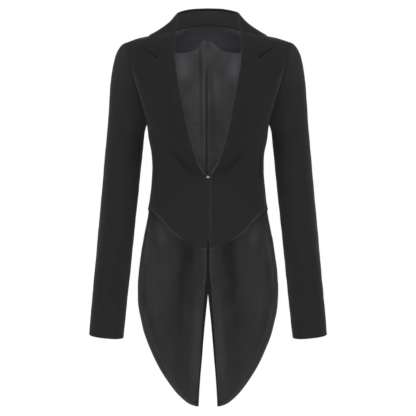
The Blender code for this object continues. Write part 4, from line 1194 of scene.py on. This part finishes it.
def suiting():
    """Black twill suiting: matt, with a faint diagonal rib, slubs and smoother pressed edges that carry a
    painted highlight; its tone attribute adds painted light and shade.
    """
    look = material("black_suiting", Specular_IOR_Level=0.1, Sheen_Weight=0.02, Sheen_Roughness=0.5,
                    Sheen_Tint=(0.9, 0.93, 1.0, 1.0))
    pressed = look.attribute("pressed")
    lines = {"Scale": 330.0, "Distortion": 0.6, "Vector": look.weave((1.0, 1.0, 1.0), 63.0)}
    rib = look.add("TexWave", "Fac", lines, wave_type="BANDS", bands_direction="X")
    yarn = look.noise(look.weave(YARN), 3.0)
    slub = look.noise(look.weave((70.0, 22.0, 1.0)), 2.0)
    woven = look.total(look.range(yarn, 0.0, 0.45), look.range(slub, 0.0, 0.35, 0.3, 0.7),
                       look.range(rib, 0.0, 0.2))
    # painted light and shade: the pressed edges' painted highlight and the tone attribute lighten or darken
    # the base colour over the weave
    tone = look.total(look.range(woven, 0.1, 0.23), look.times(pressed, 0.35), look.attribute("tone"))
    look.tint((0.0007, 0.0007, 0.0008), (0.019, 0.019, 0.0206), tone)
    look.set(Roughness=look.range(pressed, 0.86, 0.62))
    look.relief(look.total(look.times(rib, 0.6), look.times(yarn, 0.7)), 0.35, YARN_RELIEF)
    return look.owner


def facing_cloth_painted_lighter():
    """The self cloth behind the neck: a lighter, greyer copy of the suiting, painted light for the light that
    reaches inside the neck, with random mottling.
    """
    look = material("facing_cloth_painted_lighter", Specular_IOR_Level=0.2, Sheen_Weight=0.06, Sheen_Roughness=0.4,
                    Sheen_Tint=(0.92, 0.9, 1.0, 1.0))
    rub = look.noise(look.weave((30.0, 50.0, 1.0)), 3.0)
    yarn = look.noise(look.weave(YARN), 3.0)
    tone = look.total(look.range(rub, 0.0, 0.6, 0.3, 0.7), look.range(yarn, 0.0, 0.4), look.attribute("tone"))
    look.tint((0.0112, 0.011, 0.0128), (0.0178, 0.0175, 0.0202), tone)
    look.set(Roughness=look.range(rub, 0.8, 0.66))
    look.relief(yarn, 0.35, YARN_RELIEF)
    return look.owner


def satin(name, gloss, base, low, high):
    """Black satin lining: smooth floats along the weft, a soft gloss and slight puckers; its tone attribute
    adds painted light and shade, and its edges a painted highlight.
    """
    look = material(name, Specular_IOR_Level=gloss, Sheen_Weight=0.03, Sheen_Roughness=0.35)
    floats = look.noise(look.weave((120.0, 2400.0, 1.0)), 3.0)
    pucker = look.noise(look.weave((34.0, 13.0, 1.0)), 2.0)
    # painted light and shade: the edges' painted highlight and the tone attribute lighten or darken the
    # satin's colour
    tone = look.total(look.range(floats, base - 0.12, base + 0.12), look.range(pucker, 0.0, 0.15, 0.3, 0.7),
                      look.times(look.attribute("pressed"), 0.2), look.attribute("tone"))
    look.tint(low, high, tone)
    look.set(Roughness=look.range(floats, 0.46, 0.58))
    look.relief(look.total(look.times(floats, 0.05), pucker), 0.5, 0.0007)
    return look.owner


def mottled(name, low, high, scale, detail, rough, **inputs):
    """Material between two close colours, and between two values of roughness."""
    look = material(name, **inputs)
    grain = look.noise(look.add("TexCoord", "Object", {}), detail, scale)
    look.tint(low, high, grain)
    look.set(Roughness=look.range(grain, *rough))
    return look.owner


def nickel():
    """Nickel-plated wire, brightest where it rubs."""
    return mottled("nickel_wire", (0.3, 0.3, 0.31), (0.46, 0.46, 0.47), 900.0, 3.0, (0.3, 0.45),
                   Metallic=1.0)


def sewing_thread():
    """Black polyester thread."""
    return mottled("black_thread", (0.003, 0.003, 0.0034), (0.012, 0.012, 0.013), 2400.0, 2.0,
                   (0.6, 0.6), Specular_IOR_Level=0.25)


def floor_paint():
    """Pale studio floor."""
    return mottled("pale_floor", (0.86, 0.86, 0.86), (0.9, 0.9, 0.9), 0.8, 2.0, (0.9, 0.9),
                   Specular_IOR_Level=0.1)


# ---- studio ----
def area_light(name, place, target, size, power, glossy=True):
    """Soft rectangular light aimed at a point; one that isn't glossy leaves no highlight."""
    lamp = bpy.data.lights.new(name, "AREA")
    lamp.shape = "RECTANGLE"
    lamp.size, lamp.size_y = size
    lamp.energy = power
    made = add_object(name, lamp)
    made.location = place
    made.visible_glossy = glossy
    made.rotation_euler = (Vector(target) - Vector(place)).to_track_quat("-Z", "Y").to_euler()


def studio():
    """White surroundings, a pale floor, soft boxes and the photograph's camera."""
    scene = bpy.context.scene
    scene.view_settings.view_transform = "Standard"
    scene.world = bpy.data.worlds.new("white")
    nodes = Nodes(scene.world, "Background", Color=(1.0, 1.0, 1.0, 1.0))
    seen = nodes.add("LightPath", "Is Camera Ray", {})
    nodes.set(Strength=nodes.range(seen, SURROUNDINGS, 1.0))
    mesh = bpy.data.meshes.new("floor")
    corners = ((-1, -1), (1, -1), (1, 1), (-1, 1))
    mesh.from_pydata([(x * FLOOR_REACH, y * FLOOR_REACH, FLOOR) for x, y in corners], [], [(0, 1, 2, 3)])
    mesh.materials.append(floor_paint())
    floor = add_object("floor", mesh)
    area_light("box_right", (-2.9, -1.5, 0.5), MIDDLE, (1.0, 2.0), 90.0)
    area_light("box_left", (2.9, -1.5, 0.5), MIDDLE, (1.0, 2.0), 90.0)
    area_light("box_front", (0.0, -3.2, -0.35), (0.0, 0.0, -0.25), (2.2, 1.0), 170.0, False)
    area_light("box_top", (0.0, -0.9, 2.6), (0.0, 0.0, -0.1), (2.2, 1.4), 80.0)
    area_light("box_back", (0.4, 3.2, 1.2), MIDDLE, (2.0, 2.0), 110.0)
    lens = bpy.data.cameras.new("camera")
    lens.sensor_width = 36.0
    lens.lens = lens.sensor_width * (DISTANCE + SHARP_DEPTH) / (PHOTO * PIXEL * MM)
    lens.clip_start, lens.clip_end = 0.1, 100.0
    camera = add_object("camera", lens)
    camera.location = (0.0, -DISTANCE, (SHOULDER_ROW - PHOTO / 2) * PIXEL * MM)
    camera.rotation_euler = (math.pi / 2, 0.0, 0.0)
    scene.camera = camera


def main():
    """Load the frame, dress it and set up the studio."""
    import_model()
    cloth, metal = suiting(), nickel()
    lining = satin("black_satin", 0.26, 0.42, (0.001, 0.001, 0.0012), (0.042, 0.042, 0.045))
    # painted shade: the same satin, painted darker on the tails, which lie in the fronts' shade
    tail_satin_painted_darker = satin("black_satin_tails_painted_darker", 0.14, 0.24, (0.0005, 0.0005, 0.0006), (0.02, 0.02, 0.0216))
    fronts(cloth)
    backs(cloth)
    tails(cloth, tail_satin_painted_darker)
    neck_facing(facing_cloth_painted_lighter())
    back_linings(lining)
    lapels(cloth)
    collar(cloth)
    sleeves(cloth)
    hook_and_eye(metal, sewing_thread())
    studio()


main()
